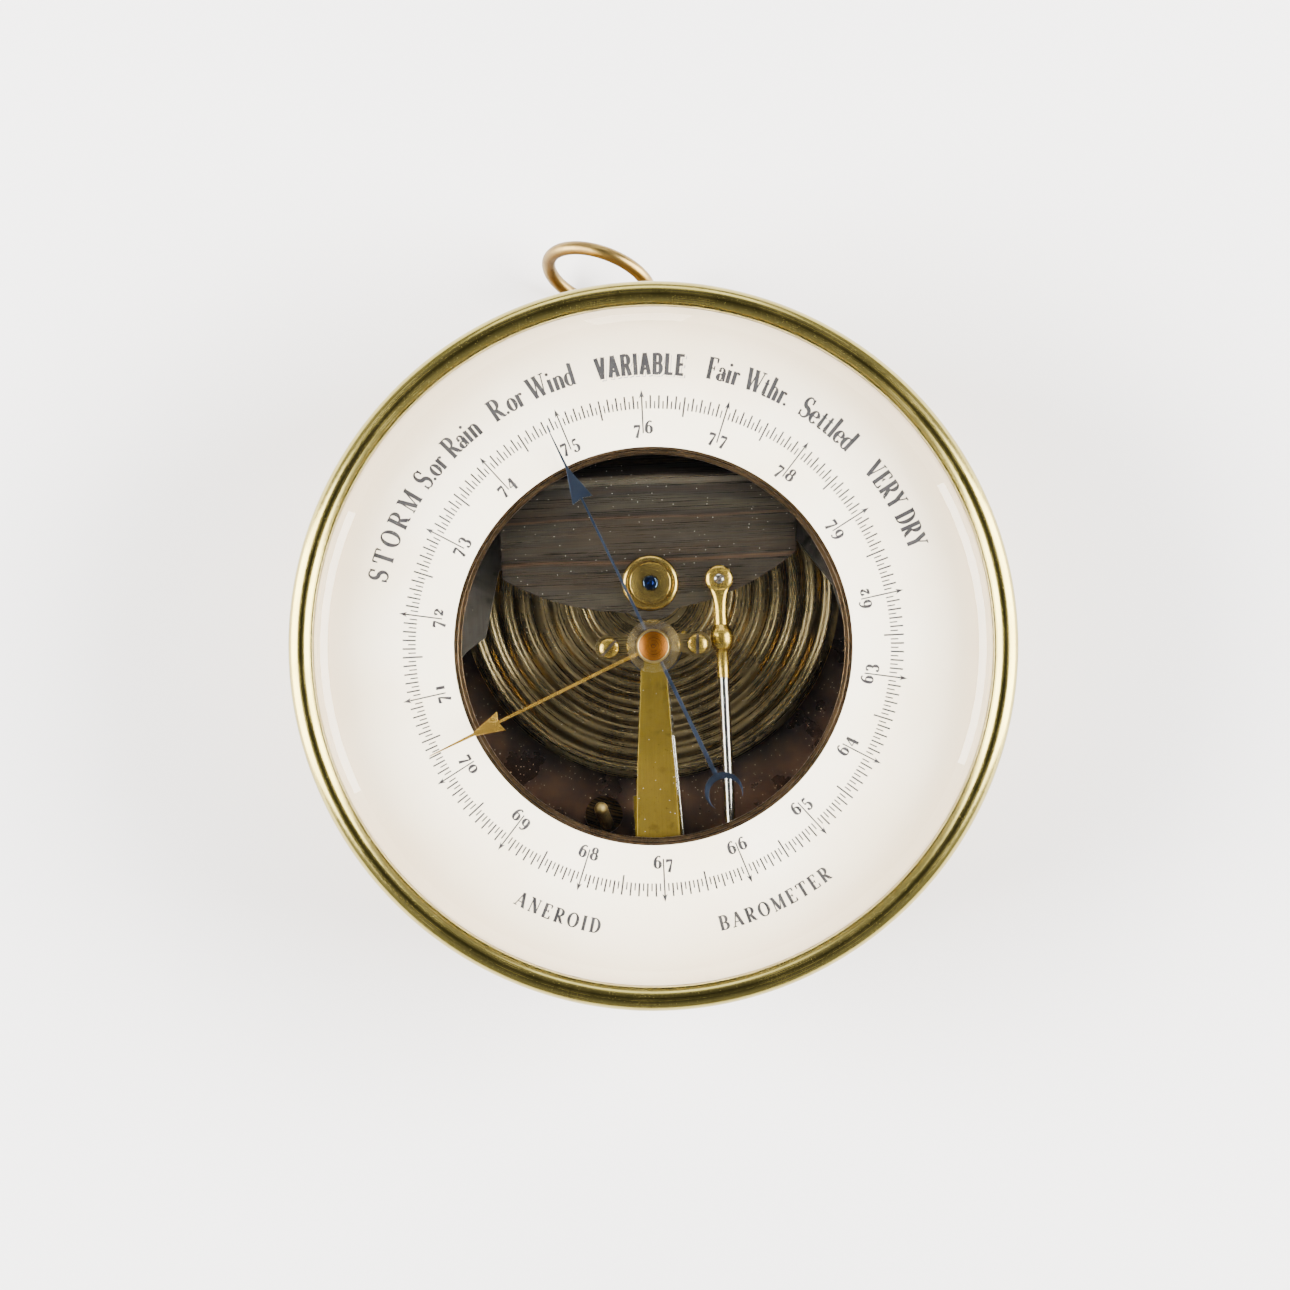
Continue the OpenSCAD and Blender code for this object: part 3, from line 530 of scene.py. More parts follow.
# Glass: bevelled edge, and a ground sink round the knob's hole
glass_edge = 1.0
bevel_w = 3.3
sink_r = 4.7
sink_floor_r = 3.0
hole_r = 1.3
glass_t = 2.4
glass_top = glass_low + glass_t
sink_depth = 0.6
sink_z = glass_top - sink_depth
arris = 0.1
glass_profile = [
    (hole_r, glass_low), (glass_r - arris, glass_low), (glass_r, glass_low + arris),
    (glass_r, glass_low + glass_edge), (glass_r - bevel_w, glass_top),
    (sink_r + 0.05, glass_top), (sink_r - 0.05, glass_top - 0.04), (sink_floor_r, sink_z), (hole_r, sink_z),
]
glass = piece("front_glass", lathe(glass_profile, 240), "glass", "case", ["glass"], 4)
glass.data.materials.append(LOOKS["ground"])
for face in glass.data.polygons:
    at = face.center / MM
    if math.hypot(at.x, at.y) < sink_r and at.z > sink_z - 0.1:
        face.material_index = 1

# Upper diaphragm: seven rolled corrugations round a flat disc
waves = 7
disc_r = 11.5
rim_r = high("capsule_rim").x
rim_w = 1.6
inner_r = rim_r - rim_w
cap_top = high("capsule_upper").z
rim_top = high("capsule_rim").z
shell_t = 0.5
wave_h = 0.7
wave_power = 1.35
slope = 0.3
points_per_wave = 22


def corrugation(radius):
    """Height of the diaphragm above its flat disc, at a radius."""
    share = (radius - disc_r) / (inner_r - disc_r)
    dip = 0.5 - 0.5 * math.cos(2 * math.pi * waves * share)
    return -wave_h * dip ** wave_power - slope * share


steps = waves * points_per_wave
wave_top = []
for i in range(steps + 1):
    r = disc_r + (inner_r - disc_r) * i / steps
    wave_top.append((r, cap_top + corrugation(r)))
wave_low = [(r, z - shell_t) for r, z in wave_top]
diaphragm = (
    [(0, cap_top), (disc_r - 0.6, cap_top)] + wave_top
    + [(inner_r + 0.3, rim_top + shell_t), (rim_r - 0.12, rim_top + shell_t)]
    + [(rim_r, rim_top + shell_t - 0.12)]
    + [(rim_r, rim_top), (inner_r - 0.3, rim_top)] + wave_low[::-1] + [(0, cap_top - shell_t)]
)
piece("capsule_diaphragm", lathe(diaphragm, 320, (0.0, capsule_y)), "capsule", "case",
      ["capsule_upper"], 60)


def squared(share, power):
    """share of -1 to 1, pushed outwards so that an oval turns into a rounded oblong."""
    return math.copysign(abs(share) ** power, share)


def loft(stations, segments):
    """Rings at (y, z, half width, half height, power) round x = lever_x, closed at both ends."""
    bm = bmesh.new()
    rings = []
    for y, z, wide, tall, power in stations:
        ring = []
        for i in range(segments):
            a = 2 * math.pi * i / segments
            x = lever_x + wide * squared(math.cos(a), power)
            up = z + tall * squared(math.sin(a), power)
            if y > leaf_edge_y:
                up = max(up, leaf_clear_z)
            ring.append(bm.verts.new((x * MM, y * MM, up * MM)))
        rings.append(ring)
    for here, there in zip(rings, rings[1:]):
        for i in range(segments):
            j = (i + 1) % segments
            bm.faces.new((here[i], here[j], there[j], there[i]))
    bm.faces.new(rings[0])
    bm.faces.new(rings[-1][::-1])
    return bm


# Main lever: a domed eye that flows into a waisted neck, a ball and a sleeve.
# Over the leaf of the main spring, its underside stays above leaf_clear_z.
leaf_edge_y = 5.5
leaf_clear_z = high("main_spring").z + 0.4
lever_x = middle("lever_screw").x
eye_y = middle("lever_screw").y
rod_z = middle("lever_rod").z
sleeve_y = low("lever_head").y
eye_r = 2.55
eye_tall = 1.28
eye_start = 6
eye_step = 7.2
eye_stations = []
for i in range(19):
    a = math.radians(eye_start + i * eye_step)
    reach_y = eye_y + eye_r * math.cos(a)
    eye_stations.append((reach_y, rod_z - 0.3, eye_r * math.sin(a), eye_tall * math.sin(a) ** 0.5, 0.55))
# Stations of (y, half width, half height, power) from the eye to the ball
neck = [(9.3, 1.62, 1.15, 0.62), (8.7, 1.45, 1.1, 0.7), (7.9, 1.31, 1.08, 0.8), (6.9, 1.24, 1.1, 0.9),
        (5.8, 1.22, 1.16, 1.0), (4.6, 1.27, 1.24, 1.0), (3.35, 1.36, 1.36, 1.0), (3.2, 1.4, 1.4, 1.0)]
ball_y = 0.8
ball_r = 2.2
ball_half = 0.9 * ball_r * 1.35
ball_start = 42
ball_step = 6.8
ball_stations = []
for i in range(15):
    a = math.radians(ball_start + i * ball_step)
    radius = ball_r * math.sin(a) ** 0.8
    ball_stations.append((ball_y + ball_half * math.cos(a), rod_z, radius, radius, 1.0))
sleeve = [(-1.42, 1.3, 1.3), (-1.6, 1.15, 1.15), (sleeve_y + 0.1, 1.15, 1.15), (sleeve_y, 1.05, 1.05)]
lever_stations = (eye_stations + [(y, rod_z - 0.1, w, t, power) for y, w, t, power in neck] + ball_stations
                  + [(y, rod_z, w, t, 1.0) for y, w, t in sleeve])
piece("lever_casting", loft(lever_stations, 48), "bright", "lever", ["lever_head"], 40)

# Stepped collar on the capsule's pillar, and its faceted blue stud
collar_at = (0.0, collar_y)
collar_low = low("collar").z
collar_r = high("collar").x
groove_z = collar_low + 1.3
boss_r = 3.72
boss_edge = 0.18
boss_z = collar_low + 3.1
boss_top = collar_low + 3.22
well_z = collar_low + 3.0
collar_profile = (
    [(0, collar_low), (collar_r - 0.4, collar_low)]
    + arc(collar_r - 0.5, collar_low + 0.5, 0.5, -60, 0, 4)
    + arc(collar_r - 0.75, collar_low + 1.55, 0.75, 0, 100, 10)
    + [(4.12, collar_low + 2.25), (4.05, groove_z), (3.75, groove_z), (boss_r, boss_z)]
    + arc(boss_r - boss_edge, boss_z, boss_edge, 0, 90, 5)
    + [(3.38, boss_top), (1.5, boss_top), (1.4, well_z), (0, well_z)]
)
piece("pillar_collar", lathe(collar_profile, 160, collar_at), "collar", "capsule_stud", ["collar"],
      30)
stud_low = collar_low + 2.6
stud_top = high("pillar_pin").z
stud_r = 1.36
stud_edge_z = stud_top - 0.3
stud_profile = [(0, stud_low), (stud_r, stud_low), (stud_r, stud_edge_z), (1.12, stud_top - 0.04),
                (0.5, stud_top), (0.36, stud_edge_z), (0, stud_edge_z)]
piece("pillar_stud", lathe(stud_profile, 9, collar_at), "blue_pin", "capsule_stud", ["pillar_pin"],
      12)


def slotted_head(at, head_r, bottom, top, slot_angle, slot_w, slot_depth):
    """A domed screw head with a slot, as a mesh."""
    rise = top - bottom
    edge = 0.06
    profile = [(0, bottom), (head_r - edge, bottom), (head_r, bottom + edge)]
    for degrees in range(0, 90, 9):
        a = math.radians(degrees)
        profile.append((head_r * math.cos(a), bottom + rise * (0.35 + 0.65 * math.sin(a))))
    profile.append((0, top))
    head_mesh = bpy.data.meshes.new("head")
    turned = lathe(profile, 72, at)
    bmesh.ops.remove_doubles(turned, verts=turned.verts, dist=0.002 * MM)
    bmesh.ops.recalc_face_normals(turned, faces=turned.faces)
    turned.to_mesh(head_mesh)
    turned.free()
    head = bpy.data.objects.new("head", head_mesh)
    cutter_bm = bmesh.new()
    bmesh.ops.create_cube(cutter_bm, size=1.0)
    bmesh.ops.scale(cutter_bm, vec=(head_r * 3 * MM, slot_w * MM, rise * 2 * MM), verts=cutter_bm.verts)
    turn = Matrix.Rotation(math.radians(slot_angle), 3, "Z")
    bmesh.ops.rotate(cutter_bm, matrix=turn, verts=cutter_bm.verts)
    lift = top - slot_depth + rise
    bmesh.ops.translate(cutter_bm, vec=(at[0] * MM, at[1] * MM, lift * MM), verts=cutter_bm.verts)
    cutter_mesh = bpy.data.meshes.new("cutter")
    cutter_bm.to_mesh(cutter_mesh)
    cutter_bm.free()
    cutter = bpy.data.objects.new("cutter", cutter_mesh)
    show(head)
    show(cutter)
    cut = head.modifiers.new("slot", "BOOLEAN")
    cut.operation = "DIFFERENCE"
    cut.object = cutter
    bpy.context.view_layer.update()
    result = bpy.data.meshes.new_from_object(head.evaluated_get(bpy.context.evaluated_depsgraph_get()))
    bpy.data.objects.remove(head)
    bpy.data.objects.remove(cutter)
    return result


def slotted_heads(name, heads, look, body, replaced):
    """Several slotted screw heads as one piece."""
    bm = bmesh.new()
    for head in heads:
        bm.from_mesh(slotted_head(*head))
    obj = piece(name, bm, look, body, replaced, 30)
    # The faces inside each slot take the dark brown: painted shade in the slot.
    obj.data.materials.append(LOOKS["painted_slot_shade"])
    for face in obj.data.polygons:
        for at, head_r, bottom, top, slot_angle, slot_w, slot_depth in heads:
            turn = math.radians(slot_angle)
            x = face.center.x / MM - at[0]
            y = face.center.y / MM - at[1]
            aside = abs(y * math.cos(turn) - x * math.sin(turn))
            in_slot = aside < slot_w / 2 + 0.01 and face.center.z / MM < top - 0.04
            if math.hypot(x, y) < head_r * 0.97 and in_slot and face.center.z / MM > bottom + 0.1:
                face.material_index = 1
    return obj


# Each head is (place, radius, bottom, top, angle of the slot, width of the slot, depth of the slot)
yoke_head_r = 1.8
yoke_top = high("yoke_screws").z
yoke_bottom = yoke_top - 1.0
yoke_x = high("yoke_screws").x - yoke_head_r
slotted_heads("yoke_screw_heads",
              [((-yoke_x, 0.0), yoke_head_r, yoke_bottom, yoke_top, 45, 0.5, 0.55),
               ((yoke_x, 0.0), yoke_head_r, yoke_bottom, yoke_top, 88, 0.5, 0.55)],
              "bright", "case", ["yoke_screws"])
screw_top = high("lever_screw").z
slotted_heads("lever_screw_head", [((lever_x, eye_y), 0.98, screw_top - 0.75, screw_top, 20, 0.26, 0.3)],
              "steel", "lever", ["lever_screw"])


# ---- Dial printing ----
# A glyph is (advance, strokes) for a capital height of 1. A stroke is a list of (x, y, weight),
# weight 0 for a hairline and 1 for a stem, or a ball as (x, y, radius) on its own.

def line(x0, y0, x1, y1, weight=0.0, end=None):
    return [(x0, y0, weight), (x1, y1, weight if end is None else end)]


def stem(x, y0=0.0, y1=1.0):
    return line(x, y0, x, y1, 1.0)


def bar(x0, x1, y):
    return line(x0, y, x1, y)


def feet(y, *places, reach=0.13):
    return [bar(x - reach, x + reach, y) for x in places]


def bowl(cx, cy, rx, ry, start, end, side=1.0, cap=0.0):
    """Part of an ellipse, heavy at its sides and fine at its top and bottom."""
    count = max(5, int(abs(end - start) / 16))
    points = []
    for i in range(count + 1):
        a = math.radians(start + (end - start) * i / count)
        weight = cap + (side - cap) * abs(math.cos(a)) ** 1.6
        points.append((cx + rx * math.cos(a), cy + ry * math.sin(a), weight))
    return points


def snake(upper, lower):
    """The body of an S: two arcs as one stroke, heavy in the middle."""
    points = [(x, y) for x, y, _ in bowl(*upper) + bowl(*lower)[1:]]
    last = len(points) - 1
    return [(x, y, math.sin(math.pi * i / last) ** 2.4 * 1.1) for i, (x, y) in enumerate(points)]


def ball(x, y, radius=0.085):
    return (x, y, radius)


BOWL_P = [stem(0.2), *feet(0.985, 0.17), bar(0.2, 0.36, 0.985), bar(0.2, 0.36, 0.49),
          bowl(0.36, 0.737, 0.22, 0.248, -90, 90)]
ARMS_E = [stem(0.2), bar(0.07, 0.58, 0.985), line(0.575, 0.985, 0.575, 0.76, 0.4, 0),
          bar(0.2, 0.44, 0.51), line(0.44, 0.62, 0.44, 0.40)]
CAPITALS = {
    "A": (0.82, [line(0.12, 0, 0.41, 1, 0.05), line(0.40, 1, 0.69, 0, 1), bar(0.19, 0.58, 0.32),
                 *feet(0.015, 0.12, 0.69)]),
    "B": (0.74, [*BOWL_P, bar(0.07, 0.36, 0.015), bowl(0.36, 0.253, 0.27, 0.24, -90, 90)]),
    "D": (0.80, [stem(0.2), *feet(0.985, 0.17), *feet(0.015, 0.17), bar(0.2, 0.36, 0.985),
                 bar(0.2, 0.36, 0.015), bowl(0.34, 0.5, 0.34, 0.485, -90, 90)]),
    "E": (0.70, [*ARMS_E, bar(0.07, 0.62, 0.015), line(0.615, 0.015, 0.615, 0.25, 0.4, 0)]),
    "F": (0.66, [*ARMS_E, *feet(0.015, 0.2)]),
    "I": (0.40, [stem(0.2), *feet(0.985, 0.2), *feet(0.015, 0.2)]),
    "L": (0.64, [stem(0.2), *feet(0.985, 0.2), bar(0.07, 0.58, 0.015),
                 line(0.575, 0.015, 0.575, 0.27, 0.4, 0)]),
    "M": (0.98, [line(0.16, 0, 0.16, 1), line(0.17, 1, 0.46, 0.02, 1), line(0.47, 0.02, 0.78, 1),
                 stem(0.80), *feet(0.015, 0.16, reach=0.10), *feet(0.015, 0.80), bar(0.03, 0.2, 0.985),
                 bar(0.76, 0.93, 0.985)]),
    "N": (0.82, [line(0.16, 0, 0.16, 1), line(0.17, 1, 0.64, 0.02, 1), line(0.66, 0, 0.66, 1),
                 *feet(0.015, 0.16, reach=0.10), *feet(0.985, 0.66, reach=0.10), bar(0.02, 0.2, 0.985)]),
    "O": (0.84, [bowl(0.42, 0.5, 0.31, 0.485, 0, 360)]),
    "R": (0.78, [*BOWL_P, *feet(0.015, 0.2), line(0.36, 0.49, 0.56, 0.12, 0.8, 1),
                 line(0.56, 0.12, 0.66, 0.01, 0.9, 0.1), line(0.66, 0.01, 0.74, 0.06)]),
    "S": (0.66, [snake((0.33, 0.74, 0.19, 0.245, 30, 250), (0.33, 0.255, 0.22, 0.24, 100, -150)),
                 line(0.52, 0.99, 0.52, 0.72, 0.1, 0.3), line(0.12, 0.01, 0.12, 0.28, 0.1, 0.3)]),
    "T": (0.76, [stem(0.38), bar(0.06, 0.70, 0.985), line(0.065, 0.985, 0.065, 0.72, 0.4, 0),
                 line(0.695, 0.985, 0.695, 0.72, 0.4, 0), *feet(0.015, 0.38)]),
    "V": (0.78, [line(0.13, 1, 0.41, 0, 1), line(0.42, 0, 0.67, 1), *feet(0.985, 0.13, 0.67)]),
    "W": (1.08, [line(0.13, 1, 0.36, 0, 1), line(0.37, 0, 0.57, 1), line(0.53, 1, 0.76, 0, 1),
                 line(0.77, 0, 0.97, 1), *feet(0.985, 0.13, 0.55, 0.97)]),
    "Y": (0.76, [line(0.13, 1, 0.39, 0.46, 1), line(0.40, 0.46, 0.65, 1), stem(0.39, 0, 0.48),
                 *feet(0.985, 0.13, 0.65), *feet(0.015, 0.39)]),
}
SMALL = {
    "a": (0.52, [bowl(0.22, 0.17, 0.14, 0.155, 40, 320), line(0.32, 0.26, 0.38, 0.34),
                 stem(0.39, 0.08, 0.44), bowl(0.25, 0.44, 0.14, 0.17, 0, 150, 0.6), ball(0.14, 0.46, 0.07),
                 line(0.39, 0.08, 0.49, 0.03, 0.6, 0)]),
    "d": (0.60, [bowl(0.27, 0.3, 0.18, 0.29, 60, 300), line(0.34, 0.57, 0.43, 0.5),
                 line(0.34, 0.03, 0.43, 0.1), stem(0.44, 0.02, 1.02), line(0.34, 1.0, 0.44, 1.02, 0),
                 line(0.44, 0.02, 0.56, 0.02)]),
    "e": (0.52, [bowl(0.27, 0.3, 0.18, 0.29, 8, 325), bar(0.1, 0.45, 0.33)]),
    "h": (0.64, [stem(0.17, 0, 1.02), line(0.06, 1.0, 0.17, 1.02), bowl(0.33, 0.42, 0.15, 0.18, 170, 0, 0.8),
                 stem(0.48, 0, 0.44), *feet(0.015, 0.17, 0.48, reach=0.11)]),
    "i": (0.34, [stem(0.17, 0, 0.6), line(0.06, 0.57, 0.17, 0.6), ball(0.17, 0.85, 0.08),
                 *feet(0.015, 0.17, reach=0.11)]),
    "l": (0.34, [stem(0.17, 0, 1.02), line(0.06, 1.0, 0.17, 1.02), *feet(0.015, 0.17, reach=0.11)]),
    "n": (0.64, [stem(0.17, 0, 0.6), line(0.06, 0.57, 0.17, 0.6), bowl(0.33, 0.42, 0.15, 0.18, 170, 0, 0.8),
                 stem(0.48, 0, 0.44), *feet(0.015, 0.17, 0.48, reach=0.11)]),
    "o": (0.54, [bowl(0.27, 0.3, 0.18, 0.29, 0, 360)]),
    "r": (0.46, [stem(0.17, 0, 0.6), line(0.06, 0.57, 0.17, 0.6), bowl(0.32, 0.42, 0.13, 0.17, 170, 70, 0.3),
                 ball(0.38, 0.54, 0.07), *feet(0.015, 0.17, reach=0.11)]),
    "t": (0.40, [line(0.19, 0.1, 0.19, 0.8, 1, 0.4), bar(0.05, 0.33, 0.59),
                 bowl(0.27, 0.12, 0.09, 0.11, 190, 330, 0.8)]),
    ".": (0.24, [ball(0.1, 0.075, 0.075)]),
    " ": (0.34, []),
}
DIGITS = {
    "0": (0.66, [bowl(0.33, 0.33, 0.22, 0.32, 0, 360)]),
    "1": (0.46, [stem(0.24, 0, 0.66), line(0.12, 0.6, 0.24, 0.66), *feet(0.02, 0.24)]),
    "2": (0.64, [bowl(0.31, 0.46, 0.18, 0.19, 160, -20), ball(0.16, 0.47, 0.08),
                 line(0.48, 0.40, 0.12, 0.05, 0.5, 0), line(0.12, 0.06, 0.5, 0.06, 0.8, 0.6),
                 line(0.5, 0.06, 0.54, 0.2)]),
    "3": (0.62, [bowl(0.28, 0.40, 0.18, 0.26, 150, -80), bowl(0.28, -0.07, 0.22, 0.26, 85, -150),
                 ball(0.13, 0.52, 0.075), ball(0.12, -0.18, 0.085)]),
    "4": (0.68, [line(0.42, 0.66, 0.06, 0.02), bar(0.06, 0.62, 0.0), stem(0.44, -0.34, 0.66),
                 *feet(-0.33, 0.44)]),
    "5": (0.62, [line(0.18, 0.61, 0.48, 0.63, 0.8, 0.5), line(0.17, 0.62, 0.15, 0.22),
                 bowl(0.29, -0.03, 0.21, 0.29, 130, -150), ball(0.12, -0.17, 0.08)]),
    "6": (0.66, [bowl(0.33, 0.3, 0.21, 0.29, 0, 360), bowl(0.47, 0.42, 0.35, 0.54, 180, 90, 0.9),
                 ball(0.5, 0.9, 0.075)]),
    "7": (0.62, [line(0.08, 0.58, 0.54, 0.58, 0.9, 0.7), line(0.09, 0.64, 0.09, 0.42),
                 line(0.53, 0.6, 0.24, -0.34, 0, 1)]),
    "8": (0.66, [bowl(0.33, 0.74, 0.17, 0.23, 0, 360, 0.8), bowl(0.33, 0.27, 0.22, 0.26, 0, 360)]),
    "9": (0.66, [bowl(0.33, 0.36, 0.21, 0.29, 0, 360), bowl(0.19, 0.24, 0.35, 0.54, 0, -90, 0.9),
                 ball(0.16, -0.24, 0.075)]),
}
GOTHIC = {
    "V": (0.50, [line(0.09, 1, 0.25, 0, 1), line(0.25, 0, 0.41, 1, 1)]),
    "A": (0.50, [line(0.08, 0, 0.25, 1, 1), line(0.25, 1, 0.42, 0, 1), line(0.14, 0.28, 0.36, 0.28, 0.3)]),
    "R": (0.48, [stem(0.11), line(0.11, 0.94, 0.27, 0.94, 0.5), bowl(0.27, 0.72, 0.11, 0.22, 90, -90, 1, 0.5),
                 line(0.11, 0.5, 0.27, 0.5, 0.5), line(0.27, 0.5, 0.40, 0, 1)]),
    "I": (0.24, [stem(0.12)]),
    "B": (0.48, [stem(0.11), line(0.11, 0.94, 0.27, 0.94, 0.5), bowl(0.26, 0.73, 0.11, 0.21, 90, -90, 1, 0.5),
                 line(0.11, 0.52, 0.27, 0.52, 0.5), bowl(0.27, 0.29, 0.12, 0.23, 90, -90, 1, 0.5),
                 line(0.11, 0.06, 0.27, 0.06, 0.5)]),
    "L": (0.42, [stem(0.11), line(0.11, 0.06, 0.38, 0.06, 0.5)]),
    "E": (0.44, [stem(0.11), line(0.11, 0.94, 0.38, 0.94, 0.5), line(0.11, 0.52, 0.34, 0.52, 0.5),
                 line(0.11, 0.06, 0.38, 0.06, 0.5)]),
}
LETTERS = {**CAPITALS, **SMALL}

card_z = high("dial_card").z
INK_T = 0.02
CENTIMETRE = 20  # degrees of the dial for a centimetre of mercury


class Printing:
    """Thin slabs of ink on the dial card, at slightly different heights so that neighbours differ."""

    def __init__(self, layer=0):
        self.bm = bmesh.new()
        self.lift = card_z + 0.002 + layer * 0.012
        self.count = 0

    def next_top(self):
        """Height of the next slab's upper face."""
        top = self.lift + INK_T + self.count % 40 * 0.0002
        self.count += 1
        return top

    def slab(self, corners):
        """A convex outline in dial coordinates, as a thin closed slab."""
        top = self.next_top()
        upper = [self.bm.verts.new((x * MM, y * MM, top * MM)) for x, y in corners]
        lower = [self.bm.verts.new((x * MM, y * MM, self.lift * MM)) for x, y in corners]
        self.bm.faces.new(upper)
        self.bm.faces.new(lower[::-1])
        for i in range(len(corners)):
            j = (i + 1) % len(corners)
            self.bm.faces.new((lower[i], lower[j], upper[j], upper[i]))

    def strip(self, points):
        """A stroke along points of (x, y, width), as one closed slab with mitred joints."""
        left, right = [], []
        last = len(points) - 1
        for i, (x, y, width) in enumerate(points):
            before = points[max(0, i - 1)]
            after = points[min(last, i + 1)]
            run = Vector((after[0] - before[0], after[1] - before[1])).normalized()
            left.append((x - run.y * width / 2, y + run.x * width / 2))
            right.append((x + run.y * width / 2, y - run.x * width / 2))
        top = self.next_top()
        rows = []
        for side, z in ((left, top), (right, top), (right, self.lift), (left, self.lift)):
            rows.append([self.bm.verts.new((x * MM, y * MM, z * MM)) for x, y in side])
        for row, beside in zip(rows, rows[1:] + rows[:1]):
            for i in range(last):
                self.bm.faces.new((row[i], beside[i], beside[i + 1], row[i + 1]))
        self.bm.faces.new([row[0] for row in rows])
        self.bm.faces.new([row[-1] for row in rows][::-1])


def radial(r, degrees):
    a = math.radians(degrees)
    return (r * math.cos(a), r * math.sin(a))


def word(ink, text, baseline, middle_at, height, glyphs=LETTERS, tops_out=True,
         hair=0.25, heavy=0.74, spacing=0.0, narrow=1.0, shift=(0.0, 0.0), grow=0.0):
    """Prints text along a circle; middle_at is the angle of its middle, in degrees."""
    widths = [glyphs[c][0] * height * narrow + spacing for c in text]
    along = -sum(widths) / 2
    for character, width in zip(text, widths):
        turn = (along + width / 2) / (baseline + (height / 2 if tops_out else -height / 2))
        at = math.radians(middle_at) - turn if tops_out else math.radians(middle_at) + turn
        up = Vector((math.cos(at), math.sin(at))) * (1 if tops_out else -1)
        right = Vector((up.y, -up.x))
        start = Vector(radial(baseline, math.degrees(at))) - right * (width - spacing) / 2
        start += Vector(shift)
        for stroke in glyphs[character][1]:
            if isinstance(stroke, tuple):
                dot(ink, start + right * stroke[0] * height * narrow + up * stroke[1] * height,
                    stroke[2] * height + grow / 2)
                continue
            points = []
            for x, y, weight in stroke:
                place = start + right * x * height * narrow + up * y * height
                points.append((place.x, place.y, hair + (heavy - hair) * weight + grow))
            if stroke[0][:2] == stroke[-1][:2]:
                points[-1] = points[0]
            ink.strip(points)
        along += width


def dot(ink, at, radius):
    ink.slab([(at.x + radius * math.cos(a), at.y + radius * math.sin(a))
              for a in [2 * math.pi * i / 14 for i in range(14)]])


def mark(ink, angle, start, end, width):
    """A radial line of the scale."""
    (x0, y0), (x1, y1) = radial(start, angle), radial(end, angle)
    ink.strip([(x0, y0, width), (x1, y1, width)])


# Lines of the scale as (inner radius, outer radius, width)
CENTIMETRE_LINE = (40.3, 45.2, 0.26)
FIVE_LINE = (41.4, 45.0, 0.31)
MILLIMETRE_LINE = (42.6, 45.0, 0.30)
HALF_LINE = (42.6, 44.0, 0.24)
NUMBER_LINE = (38.2, 40.4, 0.24)
ARROW_TIP = 46.0
ARROW_NOTCH = 44.9
ARROW_TAIL = 44.5
ARROW_SPREAD = 0.62  # degrees to either side


def print_scale():
    """Millimetre and half-millimetre ticks all round, with an arrow at each centimetre of mercury."""
    ink = Printing()
    for half in range(360):
        on_number = (half - 10) % CENTIMETRE == 0
        if on_number:
            mark(ink, half, *CENTIMETRE_LINE)
            tip = radial(ARROW_TIP, half)
            notch = radial(ARROW_NOTCH, half)
            ink.slab([tip, radial(ARROW_TAIL, half + ARROW_SPREAD), notch])
            ink.slab([tip, notch, radial(ARROW_TAIL, half - ARROW_SPREAD)])
        elif half % 10 == 0:
            mark(ink, half, *FIVE_LINE)
        elif half % 2 == 0:
            mark(ink, half, *MILLIMETRE_LINE)
        else:
            mark(ink, half, *HALF_LINE)
    return ink


def print_numbers():
    """62 to 79, each number split by its centimetre line; 62 to 70 read from outside."""
    ink = Printing()
    digit_h = 2.3
    for number in range(62, 80):
        angle = 90 - (number - 76) * CENTIMETRE
        upright = number >= 71
        first, second = str(number)
        side = 3.1 if upright else -3.1
        base = 38.2 if upright else 39.9
        for character, place in ((first, angle + side / 2), (second, angle - side / 2)):
            word(ink, character, base, place, digit_h, DIGITS, upright, 0.21, 0.58)
        mark(ink, angle, *NUMBER_LINE)
    return ink


def print_words():
    ink = Printing()
    word(ink, "STORM", 49.1, 154.4, 3.6, spacing=0.75)
    word(ink, "S.or Rain", 49.0, 134.2, 3.9, narrow=0.86)
    word(ink, "R.or Wind", 49.0, 113.0, 3.9, narrow=0.86)
    word(ink, "Fair Wthr.", 49.0, 67.4, 3.9, narrow=0.80)
    word(ink, "Settled", 49.0, 49.1, 3.9, narrow=0.88)
    word(ink, "VERY DRY", 49.1, 27.5, 3.6, narrow=0.78, spacing=0.15)
    word(ink, "ANEROID", 52.5, 247.7, 2.6, tops_out=False, hair=0.21, heavy=0.58, spacing=0.45)
    word(ink, "BAROMETER", 52.5, 292.9, 2.6, tops_out=False, hair=0.21, heavy=0.58, spacing=0.45)
    return ink


def print_variable(layer, shift, grow):
    """The shaded heading; its shadow is the same word, moved and widened."""
    ink = Printing(layer)
    word(ink, "VARIABLE", 48.7, 90, 3.9, GOTHIC, True, 0.36, 0.76, 0.25, 1.05, shift, grow)
    return ink


def ink_piece(name, ink, look):
    piece(name, ink.bm, look, "case", crease=50)


ink_piece("dial_scale", print_scale(), "ink")
ink_piece("dial_numbers", print_numbers(), "ink")
ink_piece("dial_words", print_words(), "ink")
ink_piece("heading_shadow", print_variable(0, (0.36, -0.36), 0.0), "shadow_ink")
ink_piece("heading_gap", print_variable(1, (0.18, -0.18), 0.16), "card")
ink_piece("heading", print_variable(2, (0.0, 0.0), 0.0), "ink")


# ---- Floor, lights and camera ----

def floor_material():
    p = Paint("studio_floor")
    cloud = p.noise((180, 180, 180), 2.0)
    colour = p.mix(cloud, (0.90, 0.89, 0.90), (0.93, 0.92, 0.93))
    return p.finish(colour, p.fade(cloud, 0.3, 0.7, 0.55, 0.65))


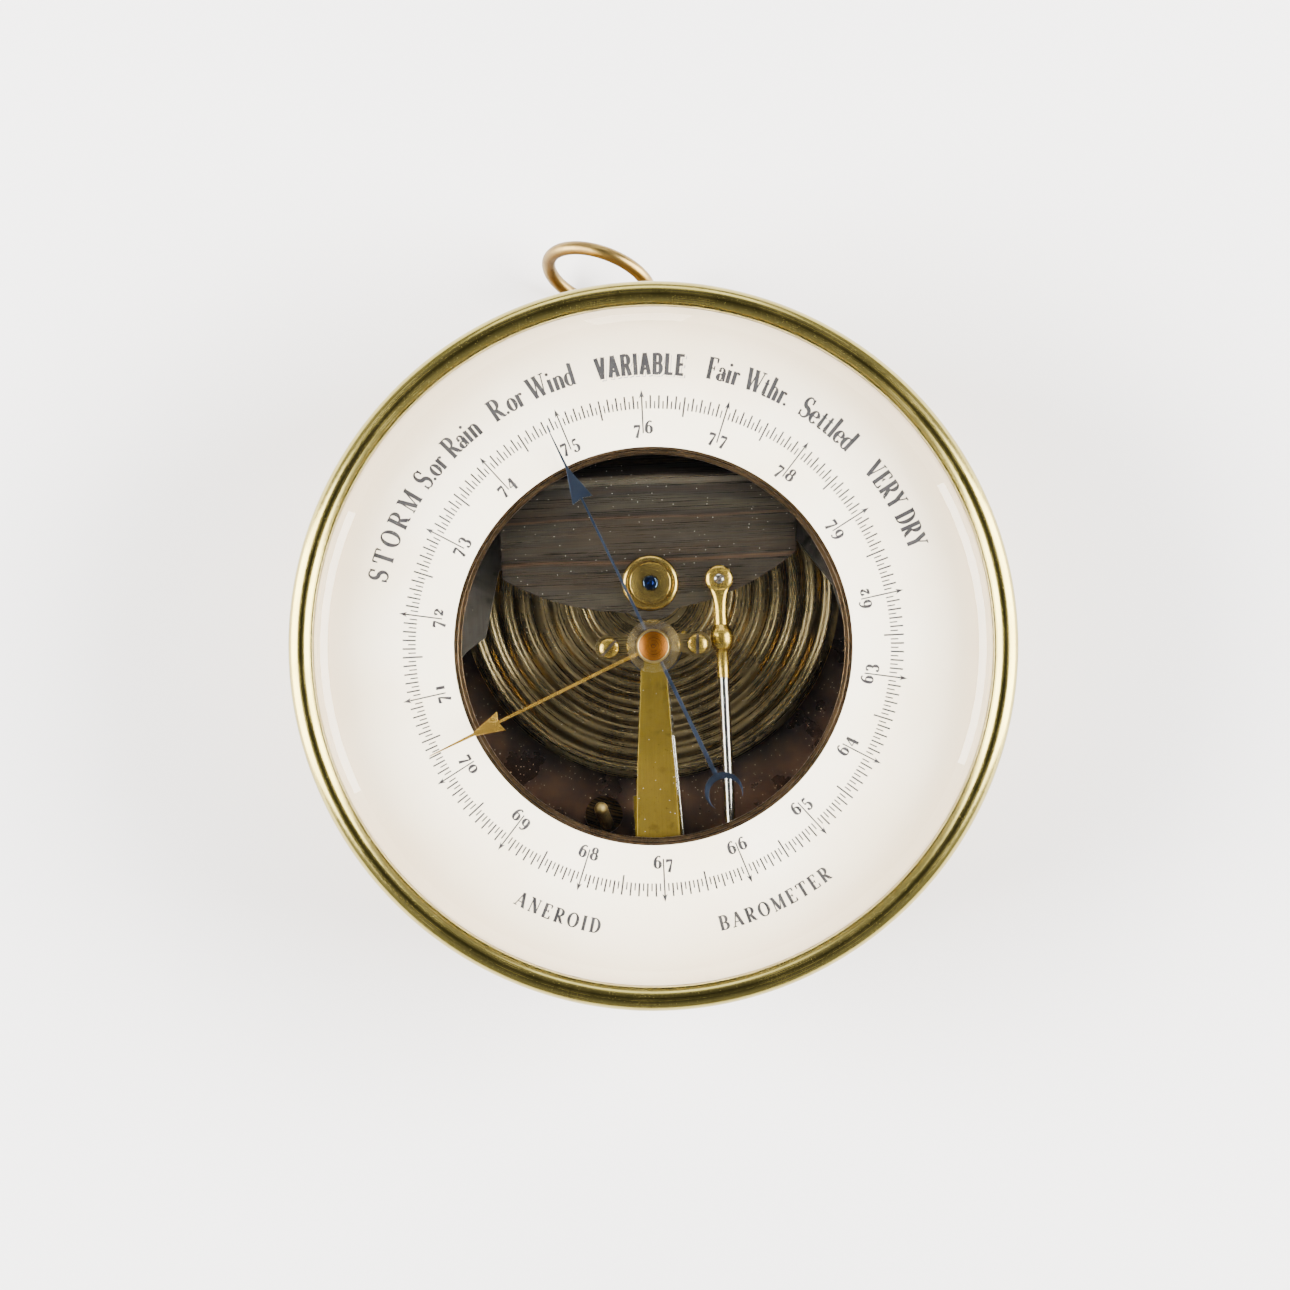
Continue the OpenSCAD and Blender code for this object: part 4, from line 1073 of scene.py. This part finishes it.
floor_mesh = bpy.data.meshes.new("studio_floor")
reach = 2.5
floor_z = cad_box[0][2] - 0.0002
floor_mesh.from_pydata([(-reach, -reach, floor_z), (reach, -reach, floor_z), (reach, reach, floor_z),
                        (-reach, reach, floor_z)], [], [(0, 1, 2, 3)])
floor_mesh.materials.append(floor_material())
floor = bpy.data.objects.new("studio_floor", floor_mesh)
show(floor)


AIM = Vector((0, 0, 0.04))


def softbox(name, place, size, power, colour=(1.0, 0.98, 0.95)):
    """A rectangular lamp that faces the dial."""
    lamp = bpy.data.lights.new(name, "AREA")
    lamp.shape = "RECTANGLE"
    lamp.size, lamp.size_y = size
    lamp.energy = power
    lamp.color = colour
    obj = bpy.data.objects.new(name, lamp)
    obj.location = place
    obj.rotation_euler = (AIM - Vector(place)).to_track_quat("-Z", "Y").to_euler()
    show(obj)


SIDE_SIZE = (0.62, 0.95)
softbox("softbox_left", (-0.76, 0.02, 0.40), SIDE_SIZE, 54.0)
softbox("softbox_right", (0.76, 0.02, 0.40), SIDE_SIZE, 56.0)
softbox("fill_far", (0.0, 0.95, 0.55), (0.9, 0.4), 5.0, (0.96, 0.98, 1.0))

# A room that is dark overhead, where the camera hangs, and paler towards its walls
world = bpy.data.worlds.new("studio")
world.use_nodes = True
tree = world.node_tree
direction = tree.nodes.new("ShaderNodeTexCoord")
split = tree.nodes.new("ShaderNodeSeparateXYZ")
tree.links.new(direction.outputs["Generated"], split.inputs[0])
height_ramp = tree.nodes.new("ShaderNodeValToRGB")
for element, (position, grey) in zip(height_ramp.color_ramp.elements, ((0.45, 0.42), (0.92, 0.035))):
    element.position = position
    element.color = (grey, grey, grey * 1.03, 1.0)
tree.links.new(split.outputs[2], height_ramp.inputs[0])
tree.links.new(height_ramp.outputs[0], tree.nodes["Background"].inputs["Color"])
bpy.context.scene.world = world

# Straight above the dial, and turned a little
camera_data = bpy.data.cameras.new("camera")
camera_data.sensor_width = 36.0
camera_data.lens = 136.7
camera_data.clip_start = 0.05
camera = bpy.data.objects.new("camera", camera_data)
camera_rise = 870.0
camera.location = (-1.48 * MM, 0.25 * MM, (bezel_top + camera_rise) * MM)
camera.rotation_euler = (0.0, 0.0, math.radians(-2.7))
show(camera)
bpy.context.scene.camera = camera
